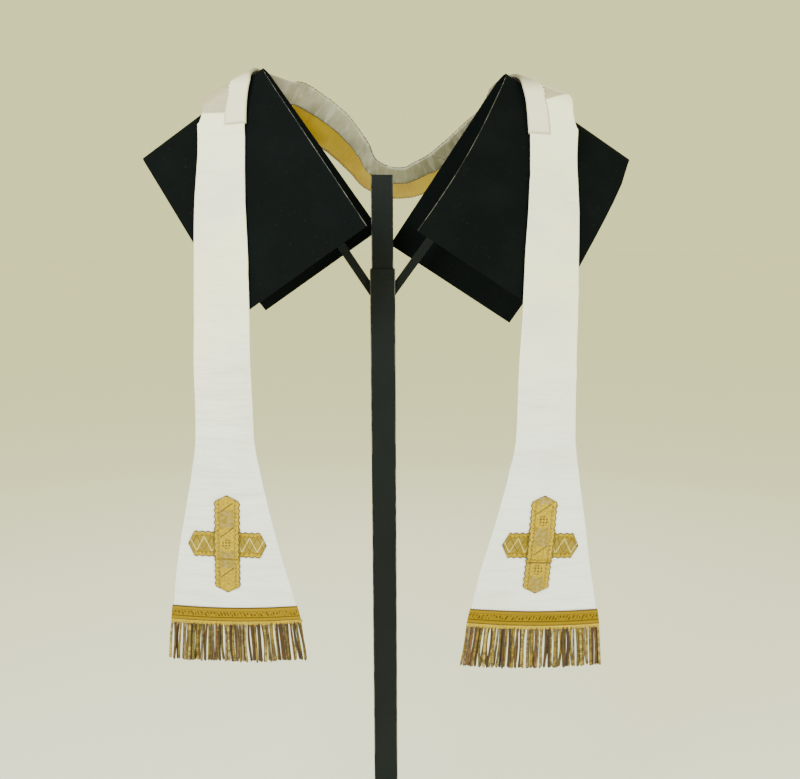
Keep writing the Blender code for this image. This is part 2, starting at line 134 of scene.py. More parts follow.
FRINGE_LENGTH = 0.060
SEAM_GAP = 0.0003

# Sections of the neck loop from the left wing to the right: its upper edge, and the way
# its width points from there. splay turns it outward, lean tips its lower edge back.
Neck = namedtuple("Neck", "x y below splay lean")
NECK_SECTIONS = [Neck(*row) for row in (
    (-0.119, 0.004, 0.011, -31.0, 20.0), (-0.094, 0.014, 0.025, -33.0, 27.0),
    (-0.062, 0.026, 0.049, -36.0, 38.0), (-0.045, 0.034, 0.069, -37.0, 44.0),
    (-0.029, 0.041, 0.092, -33.0, 50.0), (-0.018, 0.046, 0.115, -24.0, 56.0),
    (0.005, 0.050, 0.127, -6.0, 56.0), (0.028, 0.049, 0.128, 8.0, 56.0),
    (0.043, 0.046, 0.121, 26.0, 52.0), (0.063, 0.041, 0.111, 36.0, 47.0),
    (0.086, 0.034, 0.093, 40.0, 42.0), (0.103, 0.028, 0.078, 42.0, 36.0),
    (0.120, 0.020, 0.063, 42.0, 28.0), (0.134, 0.011, 0.050, 38.0, 22.0),
)]
SEAM_SECTION = 6
PATH_STEPS = 161

Cross = namedtuple("Cross", "q w tilt height width band")
CROSSES = {
    "left": Cross(0.6360, 0.0010, 0.9, 0.137, 0.1085, 0.0365),
    "right": Cross(0.6330, -0.0117, -2.4, 0.137, 0.1035, 0.0365),
}
SQUARED_FRONT = 0.040
SQUARED_BACK = 0.140
POINT_LENGTH = 0.009
RAMP = 0.003
SPLICE_PLACE = 0.68


def vector(*values):
    return np.array(values, dtype=float)


def unit(value):
    return value / np.linalg.norm(value)


def units(values):
    """Each vector of an array of them, made one long."""
    return values / np.linalg.norm(values, axis=-1, keepdims=True)


def smooth(value):
    value = min(max(value, 0.0), 1.0)
    return value * value * (3.0 - 2.0 * value)


def lerp(first, second, share):
    return first + (second - first) * share


Frame = namedtuple("Frame", "peak along front down")


def wing_frame(wing):
    """The wing's ridge line and the two directions square to it."""
    slope = math.radians(wing.slope)
    toe = math.radians(wing.toe)
    level = vector(wing.side * math.cos(toe), math.sin(toe), 0.0)
    along = level * math.cos(slope) - vector(0.0, 0.0, math.sin(slope))
    front = vector(wing.side * math.sin(toe), -math.cos(toe), 0.0)
    down = -unit(level * math.sin(slope) + vector(0.0, 0.0, math.cos(slope)))
    tip_x = wing.side * HALF_SPAN
    peak = vector(tip_x - along[0] * RIDGE_LENGTH, RIDGE_DEPTH, SHOULDER_HEIGHT + wing.peak_rise)
    return Frame(peak, along, front, down)


def wing_point(wing, along, across, height):
    """A point over the wing: along the ridge, across it (front positive), and its height."""
    frame = wing_frame(wing)
    facing = 1.0 if across >= 0.0 else -1.0
    lean = math.radians(wing.front_lean if across >= 0.0 else wing.back_lean)
    turn = math.pi / 2.0 - lean
    reach = abs(across)
    angle = min(reach / wing.bend, turn)
    out = -frame.down * math.cos(angle) + frame.front * facing * math.sin(angle)
    centre = frame.peak + frame.down * wing.bend + frame.along * along
    flat = max(reach - wing.bend * turn, 0.0)
    fall = frame.down * math.cos(lean) + frame.front * facing * math.sin(lean)
    return centre + out * (wing.bend + height) + fall * flat


def strip_turn(wing):
    """Angle between the strip and the square to the ridge that lets its front hang plumb."""
    lean = math.radians(wing.front_lean)
    return math.atan(math.cos(lean) * math.tan(math.radians(wing.slope)))


def on_wing(wing, q, w):
    turn = strip_turn(wing)
    lie = LIES[wing.name]
    along = lie.ridge_place + q * math.sin(turn) + w * math.cos(turn)
    across = q * math.cos(turn) - w * math.sin(turn)
    share = max(along, 0.0) / (lie.ridge_place + NECK_HALF_WIDTH)
    lift = lerp(lie.inner_lift, lie.outer_lift, share) * math.exp(-((across / LIFT_SPREAD) ** 2))
    return wing_point(wing, along, across, lift)


def hanging(wing, q, w):
    """Below the wing the strip bends from its lean to the plumb and turns a little."""
    start = on_wing(wing, BEND_START, 0.0)
    heading = unit(start - on_wing(wing, BEND_START - 0.01, 0.0))
    across = unit(on_wing(wing, BEND_START, 0.01) - start)
    lean = math.acos(min(-heading[2], 1.0))
    outward = unit(vector(heading[0], heading[1], 0.0))
    run = q - BEND_START
    bent = min(run, BEND_LENGTH)
    radius = BEND_LENGTH / lean
    angle = lean - bent / radius
    centre = start + vector(0.0, 0.0, -radius * (math.sin(lean) - math.sin(angle)))
    centre = centre + outward * radius * (math.cos(angle) - math.cos(lean))
    centre = centre - vector(0.0, 0.0, max(run - BEND_LENGTH, 0.0))
    drift = math.tan(math.radians(LIES[wing.name].drift))
    centre = centre - vector(wing.side * run * drift, 0.0, 0.0)
    turned = math.radians(HANG_TURN)
    level = vector(wing.side * math.cos(turned), math.sin(turned), 0.0)
    return centre + unit(lerp(across, level, smooth(run / HANG_TURN_LENGTH))) * w


def neck_edges(section):
    """Upper and lower edge of the loop at a section."""
    upper = vector(section.x, section.y, SHOULDER_HEIGHT - section.below)
    splay = math.radians(section.splay)
    lean = math.radians(section.lean)
    level = math.cos(lean)
    way = vector(math.sin(splay) * level, math.sin(lean), -math.cos(splay) * level)
    return upper, upper + way * (2.0 * NECK_HALF_WIDTH)


def wing_edges(wing, q):
    return on_wing(wing, q, -NECK_HALF_WIDTH), on_wing(wing, q, NECK_HALF_WIDTH)


def spline(points, place):
    """A smooth curve through the points, at a place counted in points."""
    index = min(max(int(place), 1), len(points) - 3)
    share = place - index
    before, first, second, after = points[index - 1:index + 3]
    start = (second - before) / 2.0
    end = (after - first) / 2.0
    cube = 2.0 * (first - second) + start + end
    square = 3.0 * (second - first) - 2.0 * start - end
    return ((cube * share + square) * share + start) * share + first


def neck_path(wing):
    """Edges at the sections of half the loop, and the length of cloth up to each place."""
    rows = [neck_edges(section) for section in NECK_SECTIONS]
    own = rows[:SEAM_SECTION + 2]
    if wing.side > 0:
        own = rows[:SEAM_SECTION - 2:-1]
    leave = LIES[wing.name].leave
    start = np.concatenate(wing_edges(wing, -leave))
    heading = (np.concatenate(wing_edges(wing, -leave - 0.001)) - start) / 0.001
    own = [np.concatenate(pair) for pair in own]
    reach = np.linalg.norm((own[0] - start).reshape(2, 3).mean(axis=0))
    edges = np.array([own[0] - 2.0 * reach * heading, start] + own)
    places = np.linspace(1.0, len(edges) - 2.0, PATH_STEPS)
    middles = np.array([spline(edges, place).reshape(2, 3).mean(axis=0) for place in places])
    steps = np.linalg.norm(np.diff(middles, axis=0), axis=1)
    lengths = leave + np.concatenate(([0.0], np.cumsum(steps)))
    return edges, places, lengths


PATHS = {wing.name: neck_path(wing) for wing in WINGS}


def neck_length(wing):
    return PATHS[wing.name][2][-1]


def round_neck(wing, q, w):
    edges, places, lengths = PATHS[wing.name]
    place = float(np.interp(-q, lengths, places))
    upper, lower = spline(edges, place).reshape(2, 3)
    return lerp(upper, lower, 0.5 + w / (2.0 * NECK_HALF_WIDTH))


def bare_point(wing, q, w):
    if q > BEND_START:
        return hanging(wing, q, w)
    gone = -q - LIES[wing.name].leave
    if gone <= 0.0:
        return on_wing(wing, q, w)
    return lerp(on_wing(wing, q, w), round_neck(wing, q, w), smooth(gone / LEAVE_LENGTH))


def strip_edges(wing, q):
    """The strip's inner and outer edge, as w, at a place along it."""
    if q <= FALLS[0].q:
        return -NECK_HALF_WIDTH, NECK_HALF_WIDTH
    points = [vector(row.width / 2.0, getattr(row, wing.name)) for row in FALLS]
    points = [points[0]] + points + [2.0 * points[-1] - points[-2]]
    place = float(np.interp(q, [row.q for row in FALLS], range(1, len(FALLS) + 1)))
    half, middle = spline(points, place)
    return middle - half, middle + half


def bend_reach(wing):
    """How far the ridge's bend reaches along the strip, on either side of the ridge."""
    return wing.bend * math.pi / 2.0 / math.cos(strip_turn(wing))


def skew_at(wing, q):
    """Rows lie along the ridge where the strip crosses it, and square across elsewhere."""
    run = SQUARED_FRONT if q >= 0.0 else SQUARED_BACK
    return math.tan(strip_turn(wing)) * (1.0 - smooth((abs(q) - bend_reach(wing)) / run))


def row_place(wing, q, w):
    """Where a row starts at q and has run across to w: skewed, but not at the ends."""
    ends = min(1.0, (q + neck_length(wing)) / SEAM_SQUARE)
    inner, outer = strip_edges(wing, HEM)
    off_middle = (w - (inner + outer) / 2.0) / ((outer - inner) / 2.0)
    droop = LIES[wing.name].hem_slant * w - HEM_SAG * off_middle ** 2
    near_hem = smooth((q - HEM + HEM_REACH) / HEM_REACH)
    return q + w * skew_at(wing, q) * ends + droop * near_hem


def down_front(wing, across):
    """Share of the front sheet's fall, 0 at the bend and 1 at its foot."""
    return min(max(across - wing.bend * math.pi / 2.0, 0.0) / PANEL_FALL, 1.0)


def inner_end(wing, across):
    """Where a wing's inner edge lies along the ridge: its back reaches in, its front bows."""
    back = min(max(0.5 - across / (wing.bend * math.pi), 0.0), 1.0)
    return wing.bow * math.sin(math.pi * down_front(wing, across)) - wing.extra * back


# ---------------------------------------------------------------- the strip as laid

SURVEY_ALONG = 0.0015
SURVEY_ACROSS = 0.005
SURVEY_REACH = 0.115
SURVEY_END = HEM + FRINGE_LENGTH + 0.03

# Soft creases across the strip, in millimetres: where the middle of each lies
# along q and w, its length along w, its height (a trough when negative), its width along q.
# The last number is its slant.
CREASES = {
    "left": (
        (66, -6, 50, 1.4, 6, 0.10), (118, 10, 60, 1.8, 8, -0.06), (171, -4, 70, 1.1, 7, 0.05),
        (222, 12, 48, 1.9, 9, 0.14), (268, -10, 66, 1.5, 8, -0.08), (330, 4, 72, -2.0, 10, 0.04),
        (389, -12, 52, 2.0, 8, 0.12), (437, 8, 60, -1.6, 7, -0.10), (486, 0, 80, 2.3, 9, 0.03),
        (528, 18, 50, 1.5, 6, -0.05), (571, -30, 46, -1.3, 7, 0.08), (701, 46, 60, 1.8, 8, -0.05),
        (713, -52, 56, -1.3, 9, 0.06), (-128, 6, 70, 1.6, 7, 0.20), (-163, -4, 72, -1.4, 6, -0.12),
        (-201, 8, 64, 1.5, 8, 0.16), (-238, 0, 70, -1.2, 6, 0.08),
    ),
    "right": (
        (74, 8, 52, 1.5, 7, -0.08), (131, -10, 58, 1.4, 7, 0.06), (183, 6, 66, 1.9, 9, -0.12),
        (241, -6, 50, 1.1, 6, 0.09), (296, 4, 74, 1.8, 9, -0.03), (352, -14, 60, -2.0, 9, 0.11),
        (404, 2, 70, 1.9, 8, -0.06), (452, -20, 48, -1.7, 8, 0.07), (503, -6, 78, 2.3, 10, -0.02),
        (548, -38, 50, 1.5, 7, 0.10), (590, 20, 50, -1.2, 8, -0.09), (694, -70, 52, 1.8, 7, 0.05),
        (716, 30, 60, -1.3, 9, -0.04), (-118, -4, 66, 1.4, 7, -0.14), (-166, 6, 72, -1.5, 7, 0.10),
        (-213, 0, 66, 1.3, 6, -0.18), (-246, 4, 70, -1.0, 6, 0.06),
    ),
}
# Long shallow waves of the hanging fronts: their lengths, and where in them each side starts
WAVE_HEIGHT = 0.0016
WAVE_LENGTHS = (0.31, 0.17)
WAVE_SLANT = 0.35
WAVE_STARTS = {"left": 0.6, "right": 2.1}
FREE_START = 0.340           # the front hangs clear of the wing below this
FREE_RUN = 0.080
SEAM_RUN = 0.012             # the creases die away over this, at the centre-back seam


def fade(value, low, high):
    """0 below low, 1 above high, smooth between: smooth() for arrays."""
    share = np.clip((value - low) / (high - low), 0.0, 1.0)
    return share * share * (3.0 - 2.0 * share)


def rumple(wing, q, w):
    """How far the cloth stands off its smooth lie at (q, w)."""
    total = np.zeros_like(q)
    for *sizes, slant in CREASES[wing.name]:
        place, middle, length, height, width = np.array(sizes) / 1000.0
        across = (q - place - slant * (w - middle)) / width
        along = (w - middle) / (length / 2.0)
        total = total + height * np.exp(-across ** 2 - along ** 4)
    free = fade(q, FREE_START, FREE_START + FREE_RUN)
    for index, length in enumerate(WAVE_LENGTHS):
        turn = 2.0 * math.pi * (q + w * WAVE_SLANT * (index - 0.5)) / length
        wave = np.sin(turn + WAVE_STARTS[wing.name] * (index + 1))
        total = total + WAVE_HEIGHT / (index + 1) * wave * free
    return total * fade(q, -neck_length(wing), -neck_length(wing) + SEAM_RUN)


class Strip:
    """Half the stole: its bare surface measured once on a grid, then read smoothly."""

    def __init__(self, wing):
        self.wing = wing
        self.start = -neck_length(wing)
        rows = round((SURVEY_END - self.start) / SURVEY_ALONG) + 1
        columns = round(2.0 * SURVEY_REACH / SURVEY_ACROSS) + 1
        self.q_lines = np.linspace(self.start, SURVEY_END, rows)
        self.w_lines = np.linspace(-SURVEY_REACH, SURVEY_REACH, columns)
        self.places = np.array([[bare_point(wing, q, w) for w in self.w_lines]
                                for q in self.q_lines])
        along = np.gradient(self.places, self.q_lines, axis=0)
        across = np.gradient(self.places, self.w_lines, axis=1)
        self.normals = units(np.cross(along, across) * wing.side)

    def read(self, table, q, w):
        """Cubic look-up of a surveyed table at arrays of q and w."""
        total = 0.0
        row, row_shares = self.cell(q, self.q_lines)
        column, column_shares = self.cell(w, self.w_lines)
        for down in range(4):
            for side in range(4):
                share = row_shares[down] * column_shares[side]
                total = total + share[..., None] * table[row + down - 1, column + side - 1]
        return total

    @staticmethod
    def cell(value, lines):
        place = (value - lines[0]) / (lines[1] - lines[0])
        index = np.clip(place.astype(int), 1, len(lines) - 3)
        share = place - index
        square, cube = share ** 2, share ** 3
        shares = (-share + 2.0 * square - cube, 2.0 - 5.0 * square + 3.0 * cube,
                  share + 4.0 * square - 3.0 * cube, cube - square)
        return index, [part / 2.0 for part in shares]

    def points(self, q, w, height):
        q, w, height = np.broadcast_arrays(np.asarray(q, float), w, height)
        raised = height + rumple(self.wing, q, w)
        return self.read(self.places, q, w) + self.read(self.normals, q, w) * raised[..., None]

    def rows(self, q_lines, profile):
        """q and w of rows of points across the strip: a profile row starts (share, shift)."""
        q = np.empty((len(q_lines), len(profile)))
        w = np.empty_like(q)
        for index, line in enumerate(q_lines):
            inner, outer = strip_edges(self.wing, line)
            for column, (share, shift, *_) in enumerate(profile):
                w[index, column] = lerp(inner, outer, share) + shift
                q[index, column] = row_place(self.wing, line, w[index, column])
        return q, w


# ---------------------------------------------------------------- making pieces

def grid_faces(rows, columns, flip, closed=False):
    """Quads of a grid of points, row by row; closed joins its last column to its first."""
    row, column = np.meshgrid(np.arange(rows - 1), np.arange(columns - (not closed)), indexing="ij")
    beside = (column + 1) % columns
    corners = [row * columns + column, row * columns + beside,
               (row + 1) * columns + beside, (row + 1) * columns + column]
    faces = np.stack([corner.ravel() for corner in corners], axis=1)
    return faces[:, ::-1] if flip else faces


def tube_faces(rings, sides, first, flip):
    """A closed tube of rings of points, counted from the first: its quads and two caps."""
    faces = (grid_faces(rings, sides, flip, closed=True) + first).tolist()
    start = list(range(first, first + sides))
    end = [point + (rings - 1) * sides for point in start]
    return faces + [start if flip else start[::-1], end[::-1] if flip else end]


def angles_round(sides):
    return np.arange(sides) / sides * 2.0 * math.pi


def rings_round(middles, beside, normal, angles, reach):
    """A ring of points round each middle, in the plane of its beside and normal."""
    ring = np.cos(angles)[None, :, None] * beside[:, None, :]
    ring = ring + np.sin(angles)[None, :, None] * normal[:, None, :]
    return middles[:, None, :] + ring * np.asarray(reach)[..., None]


def pairs(first, second):
    """Two arrays side by side, as flat sizes across and along."""
    return np.stack(np.broadcast_arrays(first, second), axis=-1)


def piece(name, points, faces, flat, look, values=None):
    """A mesh object with its flat sizes as UVs and, for each point, named values."""
    data = bpy.data.meshes.new(name)
    data.from_pydata(points.reshape(-1, 3).tolist(), [], [list(face) for face in faces])
    layer = data.uv_layers.new(name="flat")
    corners = np.empty(len(data.loops), dtype=np.int32)
    data.loops.foreach_get("vertex_index", corners)
    layer.data.foreach_set("uv", flat.reshape(-1, 2)[corners].astype(np.float32).ravel())
    for value_name, value in (values or {}).items():
        attribute = data.attributes.new(value_name, "FLOAT", "POINT")
        attribute.data.foreach_set("value", np.asarray(value, np.float32).ravel())
    data.materials.append(look)
    data.shade_smooth()
    made = bpy.data.objects.new(name, data)
    bpy.context.scene.collection.objects.link(made)
    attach(made, "root")
    return made


def thicken(item, thickness, towards):
    shell = item.modifiers.new("thickness", "SOLIDIFY")
    shell.thickness = thickness
    shell.offset = towards
    shell.use_even_offset = False


def lay(name, strip, q, w, height, look, flat=None, flip=False, values=None):
    """A grid of (q, w) laid on the strip at a height."""
    flat = pairs(w, q) if flat is None else flat
    faces = grid_faces(*q.shape, (strip.wing.side > 0) != flip)
    return piece(name, strip.points(q, w, height), faces, flat, look, values)


def stand_for(node):
    """Hide the CAD node whose place the piece takes."""
    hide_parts(node)


# ---------------------------------------------------------------- silk and lining

ROW_STEP = 0.0028
SILK_COLUMNS = 34
LINING_COLUMNS = 20
SILK_WALL = 0.0006
LINING_WALL = 0.0004
SILK_FACE = SILK + CLOTH
TURNING = 0.006              # silk turned in round the lining's edge
TURNING_FACE = LINING + LINING_WALL + 0.0001
LINING_INSET = 0.003
EDGE_PUFF = 0.0002
ROUND_EDGE = ((TURNING, TURNING_FACE), (0.0030, TURNING_FACE), (0.0008, TURNING_FACE),
              (0.0002, TURNING_FACE + 0.0003), (0.0, (TURNING_FACE + SILK_FACE) / 2.0),
              (0.0002, SILK_FACE - 0.0003), (0.0008, SILK_FACE + EDGE_PUFF), (0.0030, SILK_FACE))
AREA_ROWS = 200


def strip_lines(strip, end=HEM):
    count = round((end - strip.start) / ROW_STEP)
    return np.linspace(strip.start + SEAM_GAP / 2.0, end, count)


def columns_between(count):
    """Shares across the strip, without the two at either edge."""
    return np.linspace(0.0, 1.0, count)[2:-2]


def heights_of(profile):
    return np.array([row[2] for row in profile])


def make_silk(strip, look):
    """The outer silk: its face, and its long edges turned in under it."""
    profile = [(0.0, inset, height) for inset, height in ROUND_EDGE]
    profile += [(share, 0.0, SILK_FACE) for share in columns_between(SILK_COLUMNS)]
    profile += [(1.0, -inset, height) for inset, height in ROUND_EDGE[::-1]]
    q, w = strip.rows(strip_lines(strip), profile)
    silk = lay(f"silk_outer_{strip.wing.name}", strip, q, w, heights_of(profile), look)
    thicken(silk, SILK_WALL, -1.0)
    stand_for(f"silk_{strip.wing.name}")
    return silk


def make_lining(strip, look):
    profile = [(share, 0.0) for share in columns_between(LINING_COLUMNS)]
    profile = [(0.0, LINING_INSET)] + profile + [(1.0, -LINING_INSET)]
    q, w = strip.rows(strip_lines(strip, HEM - LINING_INSET), profile)
    lining = lay(f"lining_inner_{strip.wing.name}", strip, q, w, LINING, look)
    thicken(lining, LINING_WALL, 1.0)
    stand_for(f"lining_{strip.wing.name}")
    HEM - strip.start
    cut_area(strip, -LINING_INSET)


def cut_area(strip, beyond):
    """Flat area of half the strip, with an edge beyond its finished one on both sides."""
    length = HEM - strip.start
    widths = [strip_edges(strip.wing, line) for line in np.linspace(strip.start, HEM, AREA_ROWS)]
    return float(sum(outer - inner + 2.0 * beyond for inner, outer in widths) / AREA_ROWS * length)


# ---------------------------------------------------------------- neck guard

GUARD_STEP = 0.0022
GUARD_WALL = 0.0006
GUARD_SHARE = 3.0 / 7.0      # of the strip's width, on either side of the fold
GUARD_COLUMNS = 14
COLUMN_RUN = 0.0023          # flat size from one column to the next
GUARD_UNDER = GUARD_INSIDE + GUARD_WALL / 2.0
GUARD_OVER = TRIM + 0.0008
GUARD_FOLD = ((0.0008, GUARD_UNDER), (0.0014, GUARD_UNDER + 0.0008),
              (0.0017, (GUARD_UNDER + GUARD_OVER) / 2.0), (0.0014, GUARD_OVER - 0.0010),
              (0.0008, GUARD_OVER))
FOLD_REACH, FOLD_HEIGHT = GUARD_FOLD[2]
NECK_FREE_START = 0.015      # the guard's crumples show more freely off the wings
NECK_FREE_RUN = 0.050
HELD_SHARE = 0.35
GUARD_CRUMPLES = 30
CRUMPLE_REACH = 0.27
CRUMPLE_HEIGHT = 0.0014
CRUMPLE_HALF_LENGTH = 0.022


def guard_crumple(run, across):
    """Creases across the guard, uneven in place, height, width and slant."""
    dice = np.random.default_rng(11)
    total = np.zeros_like(run)
    places = np.linspace(-CRUMPLE_REACH, CRUMPLE_REACH, GUARD_CRUMPLES)
    for place in places + dice.normal(0.0, 0.004, GUARD_CRUMPLES):
        slant = dice.normal(0.0, 0.5)
        width = dice.uniform(0.0022, 0.0080)
        height = dice.normal(0.0, CRUMPLE_HEIGHT)
        off_middle = across - dice.uniform(0.0, 0.030)
        near = (run - place - slant * off_middle) / width
        total = total + height * np.exp(-near ** 2 - (off_middle / CRUMPLE_HALF_LENGTH) ** 4)
    return total


def make_guard(strips, look):
    """One linen strip folded over the neck edge, from one front to the other."""
    shares = np.linspace(0.0, GUARD_SHARE, GUARD_COLUMNS)[1:]
    profile = [(share, 0.0, GUARD_UNDER, -1.0) for share in shares[::-1]]
    profile += [(0.0, 0.0005, GUARD_UNDER, -1.0)]
    profile += [(0.0, -beyond, height, 0.0) for beyond, height in GUARD_FOLD]
    profile += [(0.0, 0.0005, GUARD_OVER, 1.0)]
    profile += [(share, 0.0, GUARD_OVER, 1.0) for share in shares]
    facing = np.array([row[3] for row in profile])
    points, flats = [], []
    length = 0.0
    for strip in strips:
        lie = LIES[strip.wing.name]
        length += lie.guard - strip.start
        lines = np.linspace(strip.start, lie.guard, round((lie.guard - strip.start) / GUARD_STEP))
        q, w = strip.rows(lines, profile)
        run = (q - strip.start) * strip.wing.side
        crumple = np.abs(guard_crumple(run, w + NECK_HALF_WIDTH))
        free = fade(-q, lie.leave + NECK_FREE_START, lie.leave + NECK_FREE_RUN)
        outside = crumple * lerp(HELD_SHARE, 1.0, free)
        outward = np.where(facing > 0.0, outside, crumple * free * facing)
        points.append(strip.points(q, w, heights_of(profile) + outward))
        flats.append(pairs(np.arange(len(profile)) * COLUMN_RUN, run))
    points = np.concatenate((points[0][::-1], points[1][1:]))
    flats = np.concatenate((flats[0][::-1], flats[1][1:]))
    guard = piece("neck_guard_linen", points, grid_faces(*points.shape[:2], False), flats, look)
    thicken(guard, GUARD_WALL, 0.0)
    stand_for("neck_guard")


# ---------------------------------------------------------------- stitches

Stitch = namedtuple("Stitch", "q w dq dw height")
STITCH_RADIUS = 0.00055
STITCH_SIDES = 6
STITCH_SHAPE = ((-1.0, 0.25), (-0.7, 0.85), (0.0, 1.0), (0.7, 0.85), (1.0, 0.25))
STITCH_SCATTER = 0.00012
STITCH_RISE, STITCH_DIP = 0.0001, 0.0003
FRONT_INSET = 0.0016
EDGE_INSET = 0.0012
SEAM_ROWS = 44
SEAM_INSET = 0.004


def make_stitches(name, strip, stitches, look):
    """Short threads, each a little spindle that dips into the cloth at its ends."""
    points, faces, flats = [], [], []
    angles = angles_round(STITCH_SIDES)
    lengths, widths = np.array(STITCH_SHAPE).T
    for index, stitch in enumerate(stitches):
        q = stitch.q + lengths * stitch.dq / 2.0
        w = stitch.w + lengths * stitch.dw / 2.0
        sunk = STITCH_RISE - STITCH_DIP * np.abs(lengths) ** 3
        middles = strip.points(q, w, stitch.height + sunk)
        normal = strip.read(strip.normals, q, w)
        beside = np.cross(normal, unit(middles[-1] - middles[0]))
        reach = (widths * STITCH_RADIUS)[:, None]
        points.append(rings_round(middles, beside, normal, angles, reach).reshape(-1, 3))
        faces += tube_faces(len(lengths), STITCH_SIDES, index * len(lengths) * STITCH_SIDES, False)
        flats.append(pairs(angles[None, :], q[:, None]).reshape(-1, 2))
    return piece(name, np.concatenate(points), faces, np.concatenate(flats), look)


def line_of_stitches(start, end, pitch, height, fill=0.6, slant=0.0):
    """Running stitches from one (q, w) to another; slant turns each across the line."""
    start, end = np.array(start), np.array(end)
    run = end - start
    count = max(int(np.linalg.norm(run) / pitch), 1)
    step = run / count
    turned = step * fill + np.array([-step[1], step[0]]) * slant
    stitches = []
    for index in range(count):
        middle = start + step * (index + 0.5) + DICE.normal(0.0, STITCH_SCATTER, 2)
        stitches.append(Stitch(*middle, *turned, height))
    return stitches


def guard_stitches(strip):
    """Slip stitches along the guard's front end and long edges, and round the neck loop."""
    lie = LIES[strip.wing.name]
    over = GUARD_OVER + GUARD_WALL / 2.0
    under = GUARD_UNDER - GUARD_WALL / 2.0 - 2.0 * STITCH_RADIUS

    def sewn(first, second, across, *sewing):
        """Stitches from line to line, as far across as a function of the edges says."""
        ends = []
        for line in (first, second):
            w = across(*strip_edges(strip.wing, line))
            ends.append((row_place(strip.wing, line, w), w))
        return line_of_stitches(*ends, *sewing)

    def guard_edge(inner, outer):
        return lerp(inner, outer, GUARD_SHARE) - EDGE_INSET

    def folded_edge(inner, outer):
        return inner - FOLD_REACH - STITCH_RADIUS

    def lining_edge(inner, outer):
        return outer - LINING_INSET

    inner, outer = strip_edges(strip.wing, lie.guard)
    front = lie.guard - FRONT_INSET
    ends = [(row_place(strip.wing, front, w), w)
            for w in (inner + 0.001, lerp(inner, outer, GUARD_SHARE))]
    stitches = line_of_stitches(*ends, 0.0030, over)
    lines = np.linspace(lie.guard - SEAM_INSET, strip.start + SEAM_INSET, SEAM_ROWS)
    for line, after in zip(lines[:-1], lines[1:]):
        stitches += sewn(line, after, guard_edge, 0.0036, over, 0.35, 0.15)
        if line < -lie.leave:
            stitches += sewn(line, after, guard_edge, 0.0030, under, 0.8, 0.2)
            stitches += sewn(line, after, folded_edge, 0.0040, FOLD_HEIGHT, 0.9)
            stitches += sewn(line, after, lining_edge, 0.0034, LINING - STITCH_RADIUS, 0.4, 0.3)
    return stitches


# ---------------------------------------------------------------- galloon, crosses, fringe

TRIM_WALL = 0.0008
SCALLOP_PITCH = 0.0086
SCALLOP_DEPTH = 0.0016
PICOT_PITCH = 0.0042
PICOT_DEPTH = 0.0009
PICOT_REACH = 0.003
GALLOON_STEP = 0.0009
GALLOON_ROWS = np.array([0.0, 0.0006, 0.0015, 0.003, 0.005, 0.007, 0.009, 0.011, 0.013, 0.015,
                         0.0165, 0.018, 0.0195, GALLOON_HEIGHT])
BORDER_PLACE = 0.0145        # middle of a cross band's raised border, from its centre line
BORDER_HALF = 0.0035
BORDER_PUFF = 0.00035
POINT_WIDTH = 0.0012
BAND_STEP = 0.0007
JOIN_NARROWING = 2.2         # a join shows a narrower dark line than a cut edge
BAND_SHARES = np.array([-1.0, -0.97, -0.92, *np.linspace(-0.84, 0.84, 21), 0.92, 0.97, 1.0])


def scallop(run, pitch, depth):
    return depth * (0.5 - 0.5 * np.cos(2.0 * math.pi * run / pitch))


def make_galloon(strip, look):
    """The braid on the hem, with picots along its top."""
    inner, outer = strip_edges(strip.wing, HEM)
    down = GALLOON_ROWS
    q = np.empty((len(down), round((outer - inner) / GALLOON_STEP)))
    w = np.empty_like(q)
    for index, line in enumerate(HEM - GALLOON_HEIGHT + down):
        inner, outer = strip_edges(strip.wing, line)
        w[index] = np.linspace(inner - GALLOON_OVERHANG, outer + GALLOON_OVERHANG, q.shape[1])
        q[index] = [row_place(strip.wing, line, place) for place in w[index]]
    down = down[:, None]
    q = q + np.clip(1.0 - down / PICOT_REACH, 0.0, 1.0) * scallop(w, PICOT_PITCH, PICOT_DEPTH)
    borders = np.exp(-((down - 0.0035) / 0.0018) ** 2)
    borders = borders + 0.8 * np.exp(-((down - 0.0175) / 0.0020) ** 2)
    weave = 0.00012 * np.cos(2.0 * math.pi * w / 0.0026) * np.exp(-((down - 0.0105) / 0.004) ** 4)
    height = TRIM + TRIM_WALL + BORDER_PUFF * borders + weave
    name = strip.wing.name
    galloon = lay(f"galloon_braid_{name}", strip, q, w, height, look, pairs(w, down))
    thicken(galloon, TRIM_WALL, -1.0)
    stand_for(f"galloon_{name}")
    return galloon


